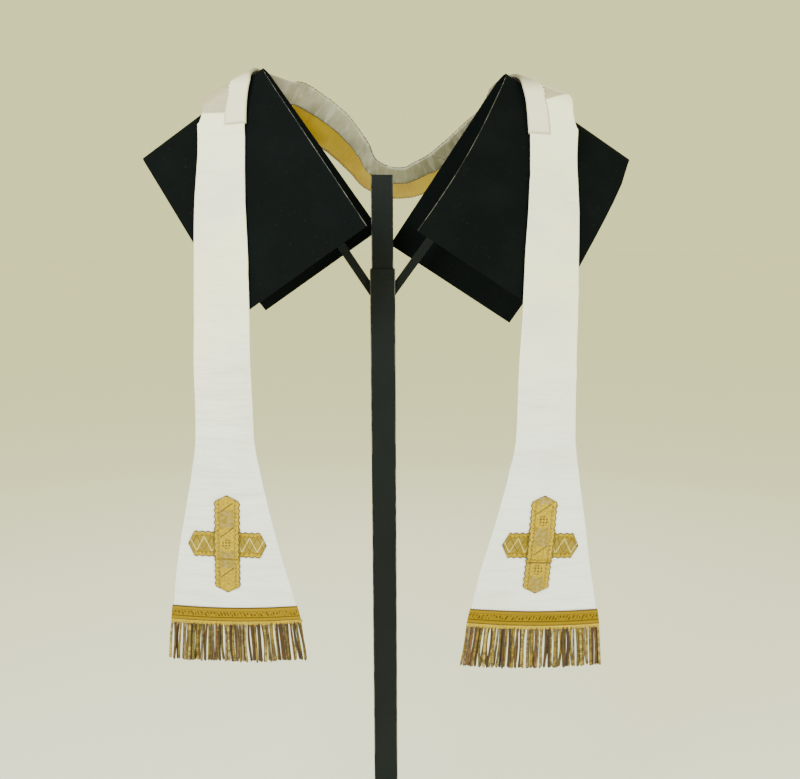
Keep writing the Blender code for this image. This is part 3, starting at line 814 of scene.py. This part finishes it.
def make_band(node, strip, cross, span, is_arm, pointed, offset, look):
    """A strip of galloon in a cross, pointed or cut straight at either end."""
    start, end = span
    run = np.linspace(start, end, round((end - start) / BAND_STEP))
    reach = cross.band / 2.0
    half = reach - SCALLOP_DEPTH + scallop(run + offset, SCALLOP_PITCH, SCALLOP_DEPTH)
    edge = np.full(len(run), 1.0)
    for has_point, gone in zip(pointed, (run - start, end - run)):
        if has_point:
            half = np.minimum(half, lerp(POINT_WIDTH / 2.0, reach, gone / POINT_LENGTH))
        edge = np.minimum(edge, gone if has_point else JOIN_NARROWING * gone)
    across = half[:, None] * BAND_SHARES
    along = np.broadcast_to(run[:, None], across.shape)
    border = np.exp(-((np.abs(across) - BORDER_PLACE) / BORDER_HALF) ** 4)
    height = TRIM + TRIM_WALL + BORDER_PUFF * border
    if not is_arm:
        over_arms = 1.0 - fade(np.abs(along), reach + GAP, reach + RAMP + 0.001)
        height = height + (CLOTH + 3.0 * GAP) * over_arms
    q, w = (across, along) if is_arm else (along, across)
    tilt = math.radians(cross.tilt)
    turned_q = cross.q + q * math.cos(tilt) - w * math.sin(tilt)
    turned_w = cross.w + q * math.sin(tilt) + w * math.cos(tilt)
    rim = np.maximum(np.minimum(half[:, None] - np.abs(across), edge[:, None] * 0.8), 0.0)
    band = lay(f"{node}_braid", strip, turned_q, turned_w, height, look,
               pairs(across, along + offset), is_arm, {"rim": rim * 1000.0})
    thicken(band, TRIM_WALL, -1.0)
    stand_for(node)
    return band


def make_cross(strip, upright_look, arm_look):
    """Arms, with the upright over them: one piece on the left, joined below on the right."""
    cross = CROSSES[strip.wing.name]
    half, arm = cross.height / 2.0, cross.width / 2.0
    splice = -half + SPLICE_PLACE * cross.height
    bands = [("arms", (-arm, arm), True, (True, True), 0.004)]
    if strip.wing.name == "left":
        bands += [("upright", (-half, half), False, (True, True), 0.0)]
    else:
        bands += [("upright", (-half, splice - GAP / 2.0), False, (True, False), 0.0335),
                  ("foot", (splice + GAP / 2.0, half), False, (False, True), -0.0353)]
    looks = [arm_look] + [upright_look] * 2
    return [make_band(f"cross_{strip.wing.name}_{part}", strip, cross, *rest, look)
            for (part, *rest), look in zip(bands, looks)]


HEADING = 0.0055
HEADING_ROWS = np.array([0.0, 0.0008, 0.002, 0.0035, 0.0048, HEADING])
HEADING_STEP = 0.0007
HEADING_WALL = 0.0030
FRINGE_MIDDLE = SILK + CLOTH / 2.0
FRINGE_FLARE = 0.0068
CORD_PITCH = 0.0030
CORD_RADIUS = 0.0021
CORD_INSET = 0.0005
CORD_TOP = 0.0025            # the cords start this far below the heading's top
CORD_SHORT = 0.0008          # the longest cord is this much shorter than the fringe
CORD_LAYERS = 0.0014         # how far the cords stand before and behind one another
CORD_SIDES = 10
CORD_STEP = 0.0016
CORD_END = 0.0018
CORD_SWAY = 0.0018
TWIST_PITCH = 0.0068
PLY_WAIST = 0.66             # a two-ply cord is this much thinner between its plies
GOLDEN_TURN = 0.618          # keeps neighbouring cords of unlike colours


def make_heading(strip, look):
    """The woven head of the fringe, just below the hem."""
    inner, outer = strip_edges(strip.wing, HEM)
    columns = round((outer - inner) / HEADING_STEP)
    w_line = np.linspace(inner - GALLOON_OVERHANG, outer + GALLOON_OVERHANG, columns)
    start = np.array([row_place(strip.wing, HEM, place) for place in w_line]) + GAP
    down = HEADING_ROWS[:, None]
    q, w = np.broadcast_arrays(start + down, w_line)
    ribs = 0.00022 * np.cos(2.0 * math.pi * w / 0.0021)
    rounding = -0.0006 * ((down - HEADING / 2.0) / (HEADING / 2.0)) ** 4
    height = FRINGE_MIDDLE + 0.0016 + ribs + rounding
    heading = lay(f"fringe_heading_{strip.wing.name}", strip, q, w, height, look, pairs(w, down))
    thicken(heading, HEADING_WALL, -1.0)
    return heading


def make_fringe(strip, look):
    """Bullion: two-ply twisted cords that hang from the heading, each a little askew."""
    dice = np.random.default_rng(23 if strip.wing.side < 0 else 29)
    inner, outer = strip_edges(strip.wing, HEM)
    count = round((outer - inner) / CORD_PITCH)
    bases = np.linspace(inner + CORD_INSET, outer - CORD_INSET, count)
    bases = bases + dice.normal(0.0, 0.0004, count)
    angles = angles_round(CORD_SIDES)
    points, faces, flats, tones = [], [], [], []
    total = 0
    for index, base in enumerate(bases):
        length = FRINGE_LENGTH - CORD_SHORT - abs(dice.normal(0.0, 0.0012))
        steps = round(length / CORD_STEP)
        down = np.linspace(0.0, length, steps)
        share = down / FRINGE_LENGTH
        flare = (index / (count - 1) - 0.5) * 2.0 * FRINGE_FLARE
        lean = dice.normal(0.0, 0.0007)
        sway = dice.normal(0.0, CORD_SWAY) * np.sin(share * math.pi * dice.uniform(0.7, 1.6))
        w = base + flare * share + lean * share + sway * 0.6
        q = row_place(strip.wing, HEM, base) + GAP + CORD_TOP + down
        layer = CORD_LAYERS * (index % 2 - 0.5) * np.clip(share * 4.0, 0.25, 1.0)
        middles = strip.points(q, w, FRINGE_MIDDLE + layer + dice.normal(0.0, 0.0012) * share)
        normal = strip.read(strip.normals, q, w)
        beside = np.cross(units(np.gradient(middles, axis=0)), normal)
        radius = CORD_RADIUS * dice.uniform(0.82, 1.12)
        taper = np.sqrt(np.clip((length - down) / CORD_END, 0.05, 1.0)) * (0.9 + 0.15 * share)
        twist = down / TWIST_PITCH * 2.0 * math.pi * dice.uniform(0.85, 1.15)
        turn = angles - (twist + dice.uniform(0.0, 6.28))[:, None]
        lobes = lerp(PLY_WAIST, 1.0, np.abs(np.cos(turn)))
        ring = rings_round(middles, beside, normal, angles, radius * taper[:, None] * lobes)
        points.append(ring.reshape(-1, 3))
        faces += tube_faces(steps, CORD_SIDES, total, True)
        flats.append(pairs(turn / (2.0 * math.pi), down[:, None]).reshape(-1, 2))
        tone = (index * GOLDEN_TURN + dice.uniform(0.0, 0.15)) % 1.0
        tones.append(np.full(steps * CORD_SIDES, tone))
        total += steps * CORD_SIDES
    fringe = piece(f"fringe_cords_{strip.wing.name}", np.concatenate(points), faces,
                   np.concatenate(flats), look, {"tone": np.concatenate(tones)})
    stand_for(f"fringe_{strip.wing.name}")
    return fringe


# ---------------------------------------------------------------- materials

class Value:
    """A number or colour that varies over a material: its arithmetic adds nodes."""

    def __init__(self, look, socket):
        self.look = look
        self.socket = socket

    def math(self, operation, other=0.0):
        return self.look.make("ShaderNodeMath", (self, other), operation=operation)

    def __add__(self, other):
        return self.math("ADD", other)

    def __sub__(self, other):
        return self.math("SUBTRACT", other)

    def __mul__(self, other):
        return self.math("MULTIPLY", other)

    def __abs__(self):
        return self.math("ABSOLUTE")

    def wave(self, period):
        return (self * (2.0 * math.pi / period)).math("SINE")

    def step(self, low, high):
        """0 below low, 1 above high; the other way round when low is the larger."""
        return self.look.make("ShaderNodeMapRange", (self, low, high),
                              interpolation_type="SMOOTHSTEP")

    def narrow(self, width, soft=0.25):
        """1 where a distance is less than about half the width."""
        return self.step(width / 2.0 * (1.0 + soft), width / 2.0 * (1.0 - soft))

    def line(self, place, width):
        return abs(self - place).narrow(width)

    def lines(self, period, width, soft=0.25):
        return self.math("PINGPONG", period / 2.0).narrow(width, soft)


class Look:
    def __init__(self, name, colour, roughness, metallic=0.0, sheen=0.0):
        self.material = bpy.data.materials.new(name)
        self.material.use_nodes = True
        self.tree = self.material.node_tree
        self.shader = self.tree.nodes["Principled BSDF"]
        self.tone = colour
        settings = {"Base Color": (*colour, 1.0), "Roughness": roughness, "Metallic": metallic,
                    "Sheen Weight": sheen, "Sheen Roughness": 0.4}
        for socket, value in settings.items():
            self.shader.inputs[socket].default_value = value

    def add(self, kind, inputs=(), **settings):
        """A node with its settings and its first inputs."""
        node = self.tree.nodes.new(kind)
        for name, value in settings.items():
            setattr(node, name, value)
        for socket, value in zip(node.inputs, inputs):
            self.put(socket, value)
        return node

    def make(self, kind, inputs=(), **settings):
        return Value(self, self.add(kind, inputs, **settings).outputs[0])

    def put(self, socket, value):
        if isinstance(value, Value):
            self.tree.links.new(value.socket, socket)
        else:
            socket.default_value = value

    def mix(self, share, first, second):
        node = self.add("ShaderNodeMix", data_type="RGBA")
        for name, value in (("Factor", share), ("A", first), ("B", second)):
            socket = [socket for socket in node.inputs if socket.name == name and socket.enabled][0]
            self.put(socket, (*value, 1.0) if isinstance(value, tuple) else value)
        return Value(self, [socket for socket in node.outputs if socket.enabled][0])

    def shade(self, share, colour):
        self.tone = self.mix(share, self.tone, colour)

    def parts(self, place):
        node = self.add("ShaderNodeSeparateXYZ", (place,))
        return [Value(self, output) for output in node.outputs]

    def flat(self):
        """The piece's flat sizes in millimetres: across and along."""
        across, along, _ = self.parts(self.make("ShaderNodeUVMap", uv_map="flat"))
        return across * 1000.0, along * 1000.0

    def solid(self):
        return Value(self, self.add("ShaderNodeTexCoord").outputs["Object"])

    def value(self, name):
        return Value(self, self.add("ShaderNodeAttribute", attribute_name=name).outputs["Fac"])

    def noise(self, place, scale, detail=2.0, roughness=0.5):
        node = self.add("ShaderNodeTexNoise")
        settings = {"Vector": place, "Scale": scale, "Detail": detail, "Roughness": roughness}
        for socket, value in settings.items():
            self.put(node.inputs[socket], value)
        return Value(self, node.outputs[0])

    def streaks(self, across, along, detail=1.0, roughness=0.5, third=0.0):
        """Noise over the flat sizes, each already scaled."""
        place = self.make("ShaderNodeCombineXYZ", (across, along, third))
        return self.noise(place, 1.0, detail, roughness)

    def finish(self, height=None, distance=0.0, strength=1.0, roughness=None):
        """Join the tone, and where given the relief and the roughness, to the shader."""
        self.put(self.shader.inputs["Base Color"], self.tone)
        if height:
            node = self.add("ShaderNodeBump")
            settings = {"Strength": strength, "Distance": distance, "Height": height}
            for socket, value in settings.items():
                self.put(node.inputs[socket], value)
            self.put(self.shader.inputs["Normal"], Value(self, node.outputs[0]))
        if roughness:
            self.put(self.shader.inputs["Roughness"], roughness)
        return self.material


# Colours, as linear light
SILK_TONE = (0.86, 0.85, 0.81)
SILK_WARM = (0.86, 0.86, 0.60)
SILK_COOL = (0.89, 0.885, 0.87)
SILK_SHADE = (0.74, 0.73, 0.66)
SILK_SOIL = (0.58, 0.55, 0.45)
# the next colour is painted shade, for the silk's upturned top over the shoulder and round the neck
SILK_SHOULDER_SHADE = (0.31, 0.25, 0.14)
LINING_TONE = (0.54, 0.355, 0.008)
LINING_DEEP = (0.42, 0.25, 0.003)
LINING_PALE = (0.66, 0.49, 0.04)
GUARD_TONE = (0.33, 0.31, 0.205)
# the next colour is painted shade of the guard's creases; the pale one after it is the pale
# threads' tone and also painted light between the creases
GUARD_CREASE_SHADE = (0.24, 0.225, 0.145)
GUARD_PALE = (0.44, 0.42, 0.33)
# the next colour is soil together with painted shadow, on the guard behind the ridge
GUARD_SOIL_AND_SHADE = (0.15, 0.13, 0.075)
GUARD_FRONT = (0.80, 0.75, 0.54)
GOLD = (0.29, 0.19, 0.001)
# the next colour is the heading's pale gold; in the crosses it is also painted highlight
GOLD_PALE = (0.58, 0.40, 0.006)
GOLD_DEEP = (0.33, 0.205, 0.001)
KHAKI = (0.22, 0.155, 0.012)
SATIN = (0.30, 0.22, 0.040)
MAUVE = (0.34, 0.235, 0.125)
CREAM = (0.82, 0.70, 0.26)
BROWN = (0.055, 0.020, 0.002)
BROWN_GREY = (0.055, 0.035, 0.016)
CORD_TONES = (
    (0.00, (0.36, 0.235, 0.010)), (0.18, (0.18, 0.085, 0.009)), (0.33, (0.20, 0.16, 0.016)),
    (0.47, (0.62, 0.47, 0.100)), (0.61, (0.10, 0.042, 0.008)), (0.74, (0.34, 0.23, 0.120)),
    (0.84, (0.045, 0.021, 0.012)), (0.92, (0.24, 0.16, 0.060)),
)
CORD_DARK = (0.050, 0.022, 0.004)
CORD_SHADOW = (0.030, 0.013, 0.004)
THREAD_BROWN = (0.040, 0.025, 0.010)
STEEL_TONE = (0.0045, 0.0068, 0.0070)
STEEL_DEEP = (0.0014, 0.0026, 0.0027)
STEEL_DUST = (0.0032, 0.0050, 0.0050)
STEEL_LINT = (0.012, 0.015, 0.014)
STEEL_WORN = (0.11, 0.11, 0.098)

# Sizes of the cloths' patterns, in millimetres
SHOULDER_SHADE_END = 43.0              # painted shade where the silk faces up, round the neck and down to here in front
SHOULDER_SHADE_LESS = 20.0             # less far down on the right side
SHOULDER_SHADE_BLUR = 2.5
RIB_PITCH = 1.4
TWILL_PITCH = 1.1
LINEN_PITCH = 0.8
GOLD_PITCH = 0.62
GUARD_BACK = 262.0           # from the seam to where the guard's pale front starts
BORDER_INNER = 10.8
REPEAT = 57.0
CLUSTER = 7.0
DOT_PITCH = 4.2
HEM_LINES = ((0.9, 2.0, 0.90), (6.0, 0.8, 0.45), (15.4, 1.6, 0.75), (20.6, 1.2, 0.6))


def make_silk_look():
    """Ribbed silk: fine ribs across the strip, slubs, a warmer upper part, faint soiling and
    painted shade over the shoulder.
    """
    look = Look("ivory_silk_ribbed", SILK_TONE, 0.46, sheen=0.15)
    across, along = look.flat()
    cloudy = look.noise(look.solid(), 9.0, 3.0)
    slubs = look.streaks(across * 0.05, along * 0.9, 3.0, 0.6)
    specks = look.streaks(across * 0.12, along * 0.30)
    # Painted shade where the silk faces up over the shoulder and round the neck, away from the
    # front light
    side = look.parts(look.solid())[0].step(-0.01, 0.01)
    shoulder_shade = (along + side * SHOULDER_SHADE_LESS).step(SHOULDER_SHADE_END, SHOULDER_SHADE_END - SHOULDER_SHADE_BLUR)
    shoulder_shade = shoulder_shade * across.step(-18.0, -12.0)
    look.tone = SILK_COOL
    look.shade(along.step(560.0, 280.0), SILK_WARM)
    look.shade(cloudy.step(0.42, 0.72) * 0.60, SILK_SHADE)
    look.shade(slubs.step(0.60, 0.80) * 0.30, SILK_SHADE)
    look.shade(specks.step(0.74, 0.80) * 0.22, SILK_SOIL)
    look.shade(shoulder_shade * 0.85, SILK_SHOULDER_SHADE)
    folds = look.streaks(across * 0.018, along * 0.075, 3.0, 0.55)
    relief = along.wave(RIB_PITCH) * 0.30 + slubs + folds * 14.0
    return look.finish(relief, 0.00030, 0.9, cloudy * 0.16 + 0.38)


def make_lining_look():
    look = Look("gold_lining_satin", LINING_TONE, 0.36, metallic=0.35)
    across, along = look.flat()
    streaks = look.streaks(across * 0.06, along * 0.5, 3.0)
    look.shade(look.noise(look.solid(), 14.0, 3.0).step(0.35, 0.70), LINING_DEEP)
    look.shade(streaks.step(0.55, 0.75) * 0.45, LINING_PALE)
    twill = (across + along).wave(TWILL_PITCH)
    return look.finish(twill * 0.2 + streaks, 0.00025, 0.6, streaks * 0.18 + 0.28)


def make_guard_look():
    """Washed linen: plain weave with thick and thin threads, with painted crease shade and painted
    light in soft patches.
    """
    look = Look("guard_linen_washed", GUARD_TONE, 0.68, sheen=0.2)
    across, along = look.flat()
    threads = look.streaks(across * 0.9, along * 0.12, 2.0)
    bands = look.streaks(across * 0.02, along * 0.10, 2.0)
    cloudy = look.noise(look.solid(), 22.0, 3.0)
    run = abs(along)
    # Painted shade of the creases in soft patches, then painted light in pale bands
    look.shade(cloudy.step(0.38, 0.66), GUARD_CREASE_SHADE)
    look.shade(bands.step(0.52, 0.64) * 0.7, GUARD_PALE)
    look.shade(threads.step(0.52, 0.75) * 0.30, GUARD_PALE)
    # Soil and painted shadow together, on the guard's inner side behind the ridge
    soil_and_shade = run.step(GUARD_BACK - 130.0, GUARD_BACK - 70.0) * cloudy.step(0.25, 0.60)
    look.shade(soil_and_shade * 0.85, GUARD_SOIL_AND_SHADE)
    look.shade(run.step(GUARD_BACK, GUARD_BACK + 30.0) * 0.9, GUARD_FRONT)
    weave = across.wave(LINEN_PITCH) * along.wave(LINEN_PITCH)
    return look.finish(weave * 0.3 + threads, 0.00025, 0.7)


def gold_weave(look, across, along):
    """Height of gold threads laid side by side, with a slow unevenness."""
    uneven = look.streaks(across * 0.35, along * 0.35, 3.0, 0.65)
    return (along + across * 0.35).wave(GOLD_PITCH) * 0.35 + uneven, uneven


def repeating(along):
    """Place in the braid's repeat; the whole repeats added keep it positive."""
    return (along + 400.0).math("MODULO", REPEAT)


def dots(look, across, along):
    """Small dots in a ring-like cluster in the middle of each repeat."""
    local = repeating(along) - REPEAT / 2.0
    inside = (across * across + local * local).math("SQRT").step(CLUSTER * 1.05, CLUSTER * 0.95)
    half = DOT_PITCH / 2.0
    stray = look.streaks(across * 0.4, along * 0.4) * 2.4
    x = (across + stray + half).math("PINGPONG", half)
    y = (local + stray + half * 0.3).math("PINGPONG", half)
    return inside * (x * x + y * y).step(2.4, 1.1)


def cross_base(name):
    look = Look(name, GOLD, 0.40, metallic=0.55)
    across, along = look.flat()
    weave, uneven = gold_weave(look, across, along)
    # Pale patches: partly the gold thread's own unevenness, partly painted highlight for its glints
    look.shade(uneven.step(0.35, 0.70), GOLD_PALE)
    return look, across, along, weave, uneven


def finish_braid(look, across, along, weave, uneven):
    """Border marks, the dark outline of the picots, and the relief of the threads."""
    wide = abs(across)
    look.shade(wide.line(BORDER_INNER, 1.2) * 0.50, BROWN)
    wander = look.streaks(along * 0.30, 0.0) * 3.0
    pips = (wide + wander).line(13.8, 1.7) * (along + wander * 1.5).lines(5.9, 1.9)
    look.shade(pips * 0.70, BROWN)
    look.shade(look.value("rim").step(1.9, 0.8) * 0.90, BROWN_GREY)
    return look.finish(weave + pips * -0.5, 0.0003, 0.8, uneven * 0.25 + 0.28)


def make_upright_look(name, slant):
    """The uprights: khaki satin fields, gold grounds with clusters of dots, diagonal lines."""
    look, across, along, weave, uneven = cross_base(name)
    wide, place = abs(across), repeating(along)
    field = (place + wide * 0.35).step(11.0, 12.5) * (place + wide * -0.35).step(34.0, 32.5)
    cloud = look.streaks(across * 0.12, along * 0.16, 2.0).step(0.40, 0.62)
    mauve = look.streaks(across * 0.16, along * 0.20, third=7.0).step(0.55, 0.62) * 0.7
    satin = look.mix(mauve, look.mix(cloud, KHAKI, SATIN), MAUVE)
    look.shade(field * wide.step(10.2, 9.2) * 0.85, satin)
    slanted = place + across * slant
    lines = slanted.line(6.0, 1.7) * along.step(-25.0, -35.0) + slanted.line(41.0, 1.7)
    look.shade(lines * wide.step(9.5, 8.5) * 0.9, BROWN)
    look.shade(dots(look, across, along + REPEAT / 2.0) * abs(along).step(40.0, 35.0) * 0.9, BROWN)
    return finish_braid(look, across, along, weave, uneven)


def make_arm_look():
    """The arms: satin ground with pale and brown zigzags between the gold borders."""
    look, across, along, weave, uneven = cross_base("gold_galloon_arm")
    inner = abs(across).step(10.4, 9.6)
    cloud = look.streaks(across * 0.15, along * 0.15, 2.0).step(0.42, 0.62)
    look.shade(inner * 0.72, look.mix(cloud, KHAKI, SATIN))
    zigzag = (along + 300.0).math("PINGPONG", 10.5) - 5.25
    for gain, offset, colour, width in ((1.9, 0.0, CREAM, 1.9), (-1.9, 1.2, BROWN, 1.5)):
        away = abs(across + offset - zigzag * gain)
        look.shade(away.step(width * 0.75, width * 0.35) * inner * 0.85, colour)
    return finish_braid(look, across, along, weave, uneven)


def make_galloon_look():
    """The hem's braid: gold, a row of small brown marks, and dark lines along it."""
    look = Look("gold_galloon_hem", GOLD_DEEP, 0.40, metallic=0.75)
    across, down = look.flat()
    weave, uneven = gold_weave(look, down, across)
    look.shade(uneven.step(0.36, 0.68), GOLD)
    marks = look.streaks(across * 0.42, down * 0.20).step(0.44, 0.52)
    marks = marks * (across + down * 0.55).lines(4.6, 2.5, 0.4)
    look.shade(marks * (down.step(6.8, 7.8) * down.step(14.2, 13.2)) * 0.90, BROWN)
    for place, width, depth in HEM_LINES:
        look.shade(down.line(place, width) * depth, BROWN)
    return look.finish(weave, 0.0003, 0.8, uneven * 0.25 + 0.28)


def make_heading_look():
    look = Look("gold_fringe_heading", GOLD_PALE, 0.45, metallic=0.5)
    across, down = look.flat()
    uneven = look.streaks(across * 0.6, down * 0.4, 2.0)
    look.shade(uneven.step(0.4, 0.7), GOLD)
    look.shade(across.lines(2.1, 0.7, 0.5) * 0.4, BROWN)
    return look.finish(uneven, 0.0002, 0.7)


def make_cord_look():
    """Bullion: plies of gold, brown and grey thread, mixed from cord to cord."""
    look = Look("gold_fringe_bullion", GOLD, 0.42, metallic=0.25)
    ply, down = look.flat()
    turn = ply * 0.001
    cord = look.value("tone")
    ramp = look.add("ShaderNodeValToRGB", (cord,))
    ramp.color_ramp.interpolation = "CONSTANT"
    stops = ramp.color_ramp.elements
    while len(stops) < len(CORD_TONES):
        stops.new(0.5)
    for stop, (place, colour) in zip(stops, CORD_TONES):
        stop.position = place
        stop.color = (*colour, 1.0)
    look.tone = Value(look, ramp.outputs[0])
    look.shade(look.streaks(down * 0.16, cord * 97.0, 2.0).step(0.42, 0.58) * 0.70, CORD_DARK)
    look.shade(turn.lines(0.5, 0.24, 0.8) * 0.7, CORD_SHADOW)
    return look.finish((turn * 44.0 + down * 2.4).wave(2.0) * 0.5, 0.00015, 0.8)


def make_thread_look(name, colour):
    look = Look(name, colour, 0.7)
    turn, along = look.flat()
    look.shade(look.noise(look.solid(), 120.0), tuple(part * 0.6 for part in colour))
    return look.finish((turn + along * 9.0).math("SINE"), 0.0001, 0.5)


def make_steel_look(name, base, roughness, shine):
    """Matt black powder coat: a fine orange peel, dust in patches and a little lint."""
    look = Look(name, base, roughness)
    look.shader.inputs["Specular IOR Level"].default_value = shine
    place = look.solid()
    patches = look.noise(place, 16.0, 4.0, 0.6)
    look.shade(patches.step(0.42, 0.72) * 0.55, STEEL_DUST)
    look.shade(look.noise(place, 240.0, 1.0).step(0.70, 0.76) * 0.35, STEEL_LINT)
    peel = look.noise(place, 900.0)
    return look.finish(peel, 0.0002, 0.35, patches * 0.20 + (roughness - 0.10))


def make_worn_look():
    """Cut edges of the sheets and corners of the tube, where the coat has rubbed off."""
    look = Look("black_steel_worn_edge", STEEL_WORN, 0.45, metallic=0.4)
    place = look.solid()
    look.tone = STEEL_TONE
    look.shade(look.noise(place, 34.0, 4.0, 0.7).step(0.42, 0.58), STEEL_WORN)
    return look.finish(look.noise(place, 500.0), 0.0002, 0.4)


# ---------------------------------------------------------------- stand

POST_NODES = ("base_plate", "post_lower", "post_upper", "strut_left", "strut_right")
WING_NODES = ("wing_left", "wing_right")
EDGE_RADIUS = 0.0008
EDGE_SIDES = 8
EDGE_STOPS = 60
WORN_FROM = 0.30             # the post's corners are worn from this height up


def dress_stand(look, nodes):
    """The CAD nodes of the stand are right as they are, and get the powder coat."""
    for name in nodes:
        frame["nodes"][name].data.materials.clear()
        frame["nodes"][name].data.materials.append(look)


def edge_bead(name, path, look):
    """A thin bead along a path of points."""
    path = np.array(path)
    angles = angles_round(EDGE_SIDES)
    along = units(np.gradient(path, axis=0))
    beside = units(np.cross(along, vector(0.31, 0.87, 0.38)))
    ring = rings_round(path, beside, np.cross(along, beside), angles, EDGE_RADIUS)
    flat = pairs(angles[None, :], np.arange(len(path))[:, None])
    bead = piece(name, ring, tube_faces(len(path), EDGE_SIDES, 0, False), flat, look)


def make_wing_edges(wing, look):
    """The bare cut inner edge of a wing's front sheet, from the ridge down."""
    front = wing.bend * (math.pi / 2.0 - math.radians(wing.front_lean))
    stops = np.linspace(front * 0.9, front + PANEL_FALL, EDGE_STOPS)
    path = [wing_point(wing, inner_end(wing, stop), stop, -SHEET_THICKNESS / 2.0) for stop in stops]
    edge_bead(f"wing_{wing.name}_inner_edge", path, look)


def make_tube_edges(look):
    """The rubbed front corners of the post's two tubes."""
    for name, tube, low, high in (("lower", LOWER_TUBE, WORN_FROM, LOWER_TUBE_TOP),
                                  ("upper", UPPER_TUBE, LOWER_TUBE_TOP, UPPER_TUBE_TOP)):
        corner = tube / 2.0
        for side, sign in (("left", -1.0), ("right", 1.0)):
            path = [vector(POST_X + sign * corner, -corner, height)
                    for height in np.linspace(low, high, 24)]
            edge_bead(f"post_{name}_{side}_edge", path, look)


# ---------------------------------------------------------------- room

FLOOR_TONE = (0.980, 0.985, 0.970)
FLOOR_RADIUS = 40.0
FLOOR_DROP = 0.0005
WORLD_TONE = (1.00, 0.99, 0.45)
WORLD_STRENGTH = 1.12
CHEST = (0.0, 0.0, 1.0)
LIGHTS = (
    ("key", (-0.9, -1.5, 2.35), (1.2, 1.2), 78.0, (0.90, 0.95, 1.0)),
    ("fill", (1.5, -1.6, 1.2), (1.5, 1.5), 36.0, (0.90, 0.95, 1.0)),
    ("back", (0.4, 2.2, 2.6), (1.6, 1.2), 24.0, (1.0, 1.0, 1.0)),
)
CAMERA_LENS = 42.75
CAMERA_SHIFT = 0.0225
CAMERA_PLACE = (-0.0085, -1.394, 1.242)
CAMERA_DOWN = 9.84
CAMERA_ROLL = -0.42


def make_floor():
    look = Look("floor_plain", FLOOR_TONE, 0.9)
    look.shade(look.noise(look.solid(), 3.0), tuple(part * 0.985 for part in FLOOR_TONE))
    bpy.ops.mesh.primitive_circle_add(vertices=96, radius=FLOOR_RADIUS, fill_type="NGON",
                                      location=(0, 0, -FLOOR_DROP))
    floor = bpy.context.object
    floor.name = "floor"
    floor.data.materials.append(look.finish())


def place_object(name, data, place):
    made = bpy.data.objects.new(name, data)
    bpy.context.scene.collection.objects.link(made)
    made.location = place
    return made


def make_light(name, place, size, power, colour):
    data = bpy.data.lights.new(name, "AREA")
    data.shape = "RECTANGLE"
    data.size, data.size_y = size
    data.energy = power
    data.color = colour
    light = place_object(name, data, place)
    light.rotation_euler = (Vector(CHEST) - Vector(place)).to_track_quat("-Z", "Y").to_euler()


def make_world():
    world = bpy.data.worlds.new("studio")
    world.use_nodes = True
    background = world.node_tree.nodes["Background"]
    background.inputs[0].default_value = (*WORLD_TONE, 1.0)
    background.inputs[1].default_value = WORLD_STRENGTH
    bpy.context.scene.world = world


def make_camera():
    """Where the stand is seen from: a little above its middle, looking slightly down."""
    data = bpy.data.cameras.new("camera")
    data.lens = CAMERA_LENS
    data.shift_x = CAMERA_SHIFT
    camera = place_object("camera", data, CAMERA_PLACE)
    tip = Matrix.Rotation(math.pi / 2.0 - math.radians(CAMERA_DOWN), 3, "X")
    roll = Matrix.Rotation(math.radians(CAMERA_ROLL), 3, "Z")
    camera.rotation_euler = (tip @ roll).to_euler()
    bpy.context.scene.camera = camera


make_camera()
make_world()
make_floor()
for light in LIGHTS:
    make_light(*light)

dress_stand(make_steel_look("black_steel_wing", STEEL_DEEP, 0.80, 0.05), WING_NODES)
dress_stand(make_steel_look("black_steel_post", STEEL_TONE, 0.60, 0.14), POST_NODES)
worn_look = make_worn_look()
silk_look = make_silk_look()
lining_look = make_lining_look()
upright_looks = {"left": make_upright_look("gold_galloon_upright_left", -0.75),
                 "right": make_upright_look("gold_galloon_upright_right", 0.75)}
arm_look = make_arm_look()
galloon_look = make_galloon_look()
heading_look = make_heading_look()
cord_look = make_cord_look()
brown_thread = make_thread_look("brown_thread", THREAD_BROWN)

make_tube_edges(worn_look)
strips = [Strip(wing) for wing in WINGS]
for strip in strips:
    side = strip.wing.name
    make_wing_edges(strip.wing, worn_look)
    silk = make_silk(strip, silk_look)
    make_lining(strip, lining_look)
    trims = [make_galloon(strip, galloon_look), make_heading(strip, heading_look),
             make_fringe(strip, cord_look), *make_cross(strip, upright_looks[side], arm_look)]
    threads = make_stitches(f"guard_stitches_{side}", strip, guard_stitches(strip), brown_thread)
    HEM - strip.start
    cut_area(strip, TURNING)
make_guard(strips, make_guard_look())
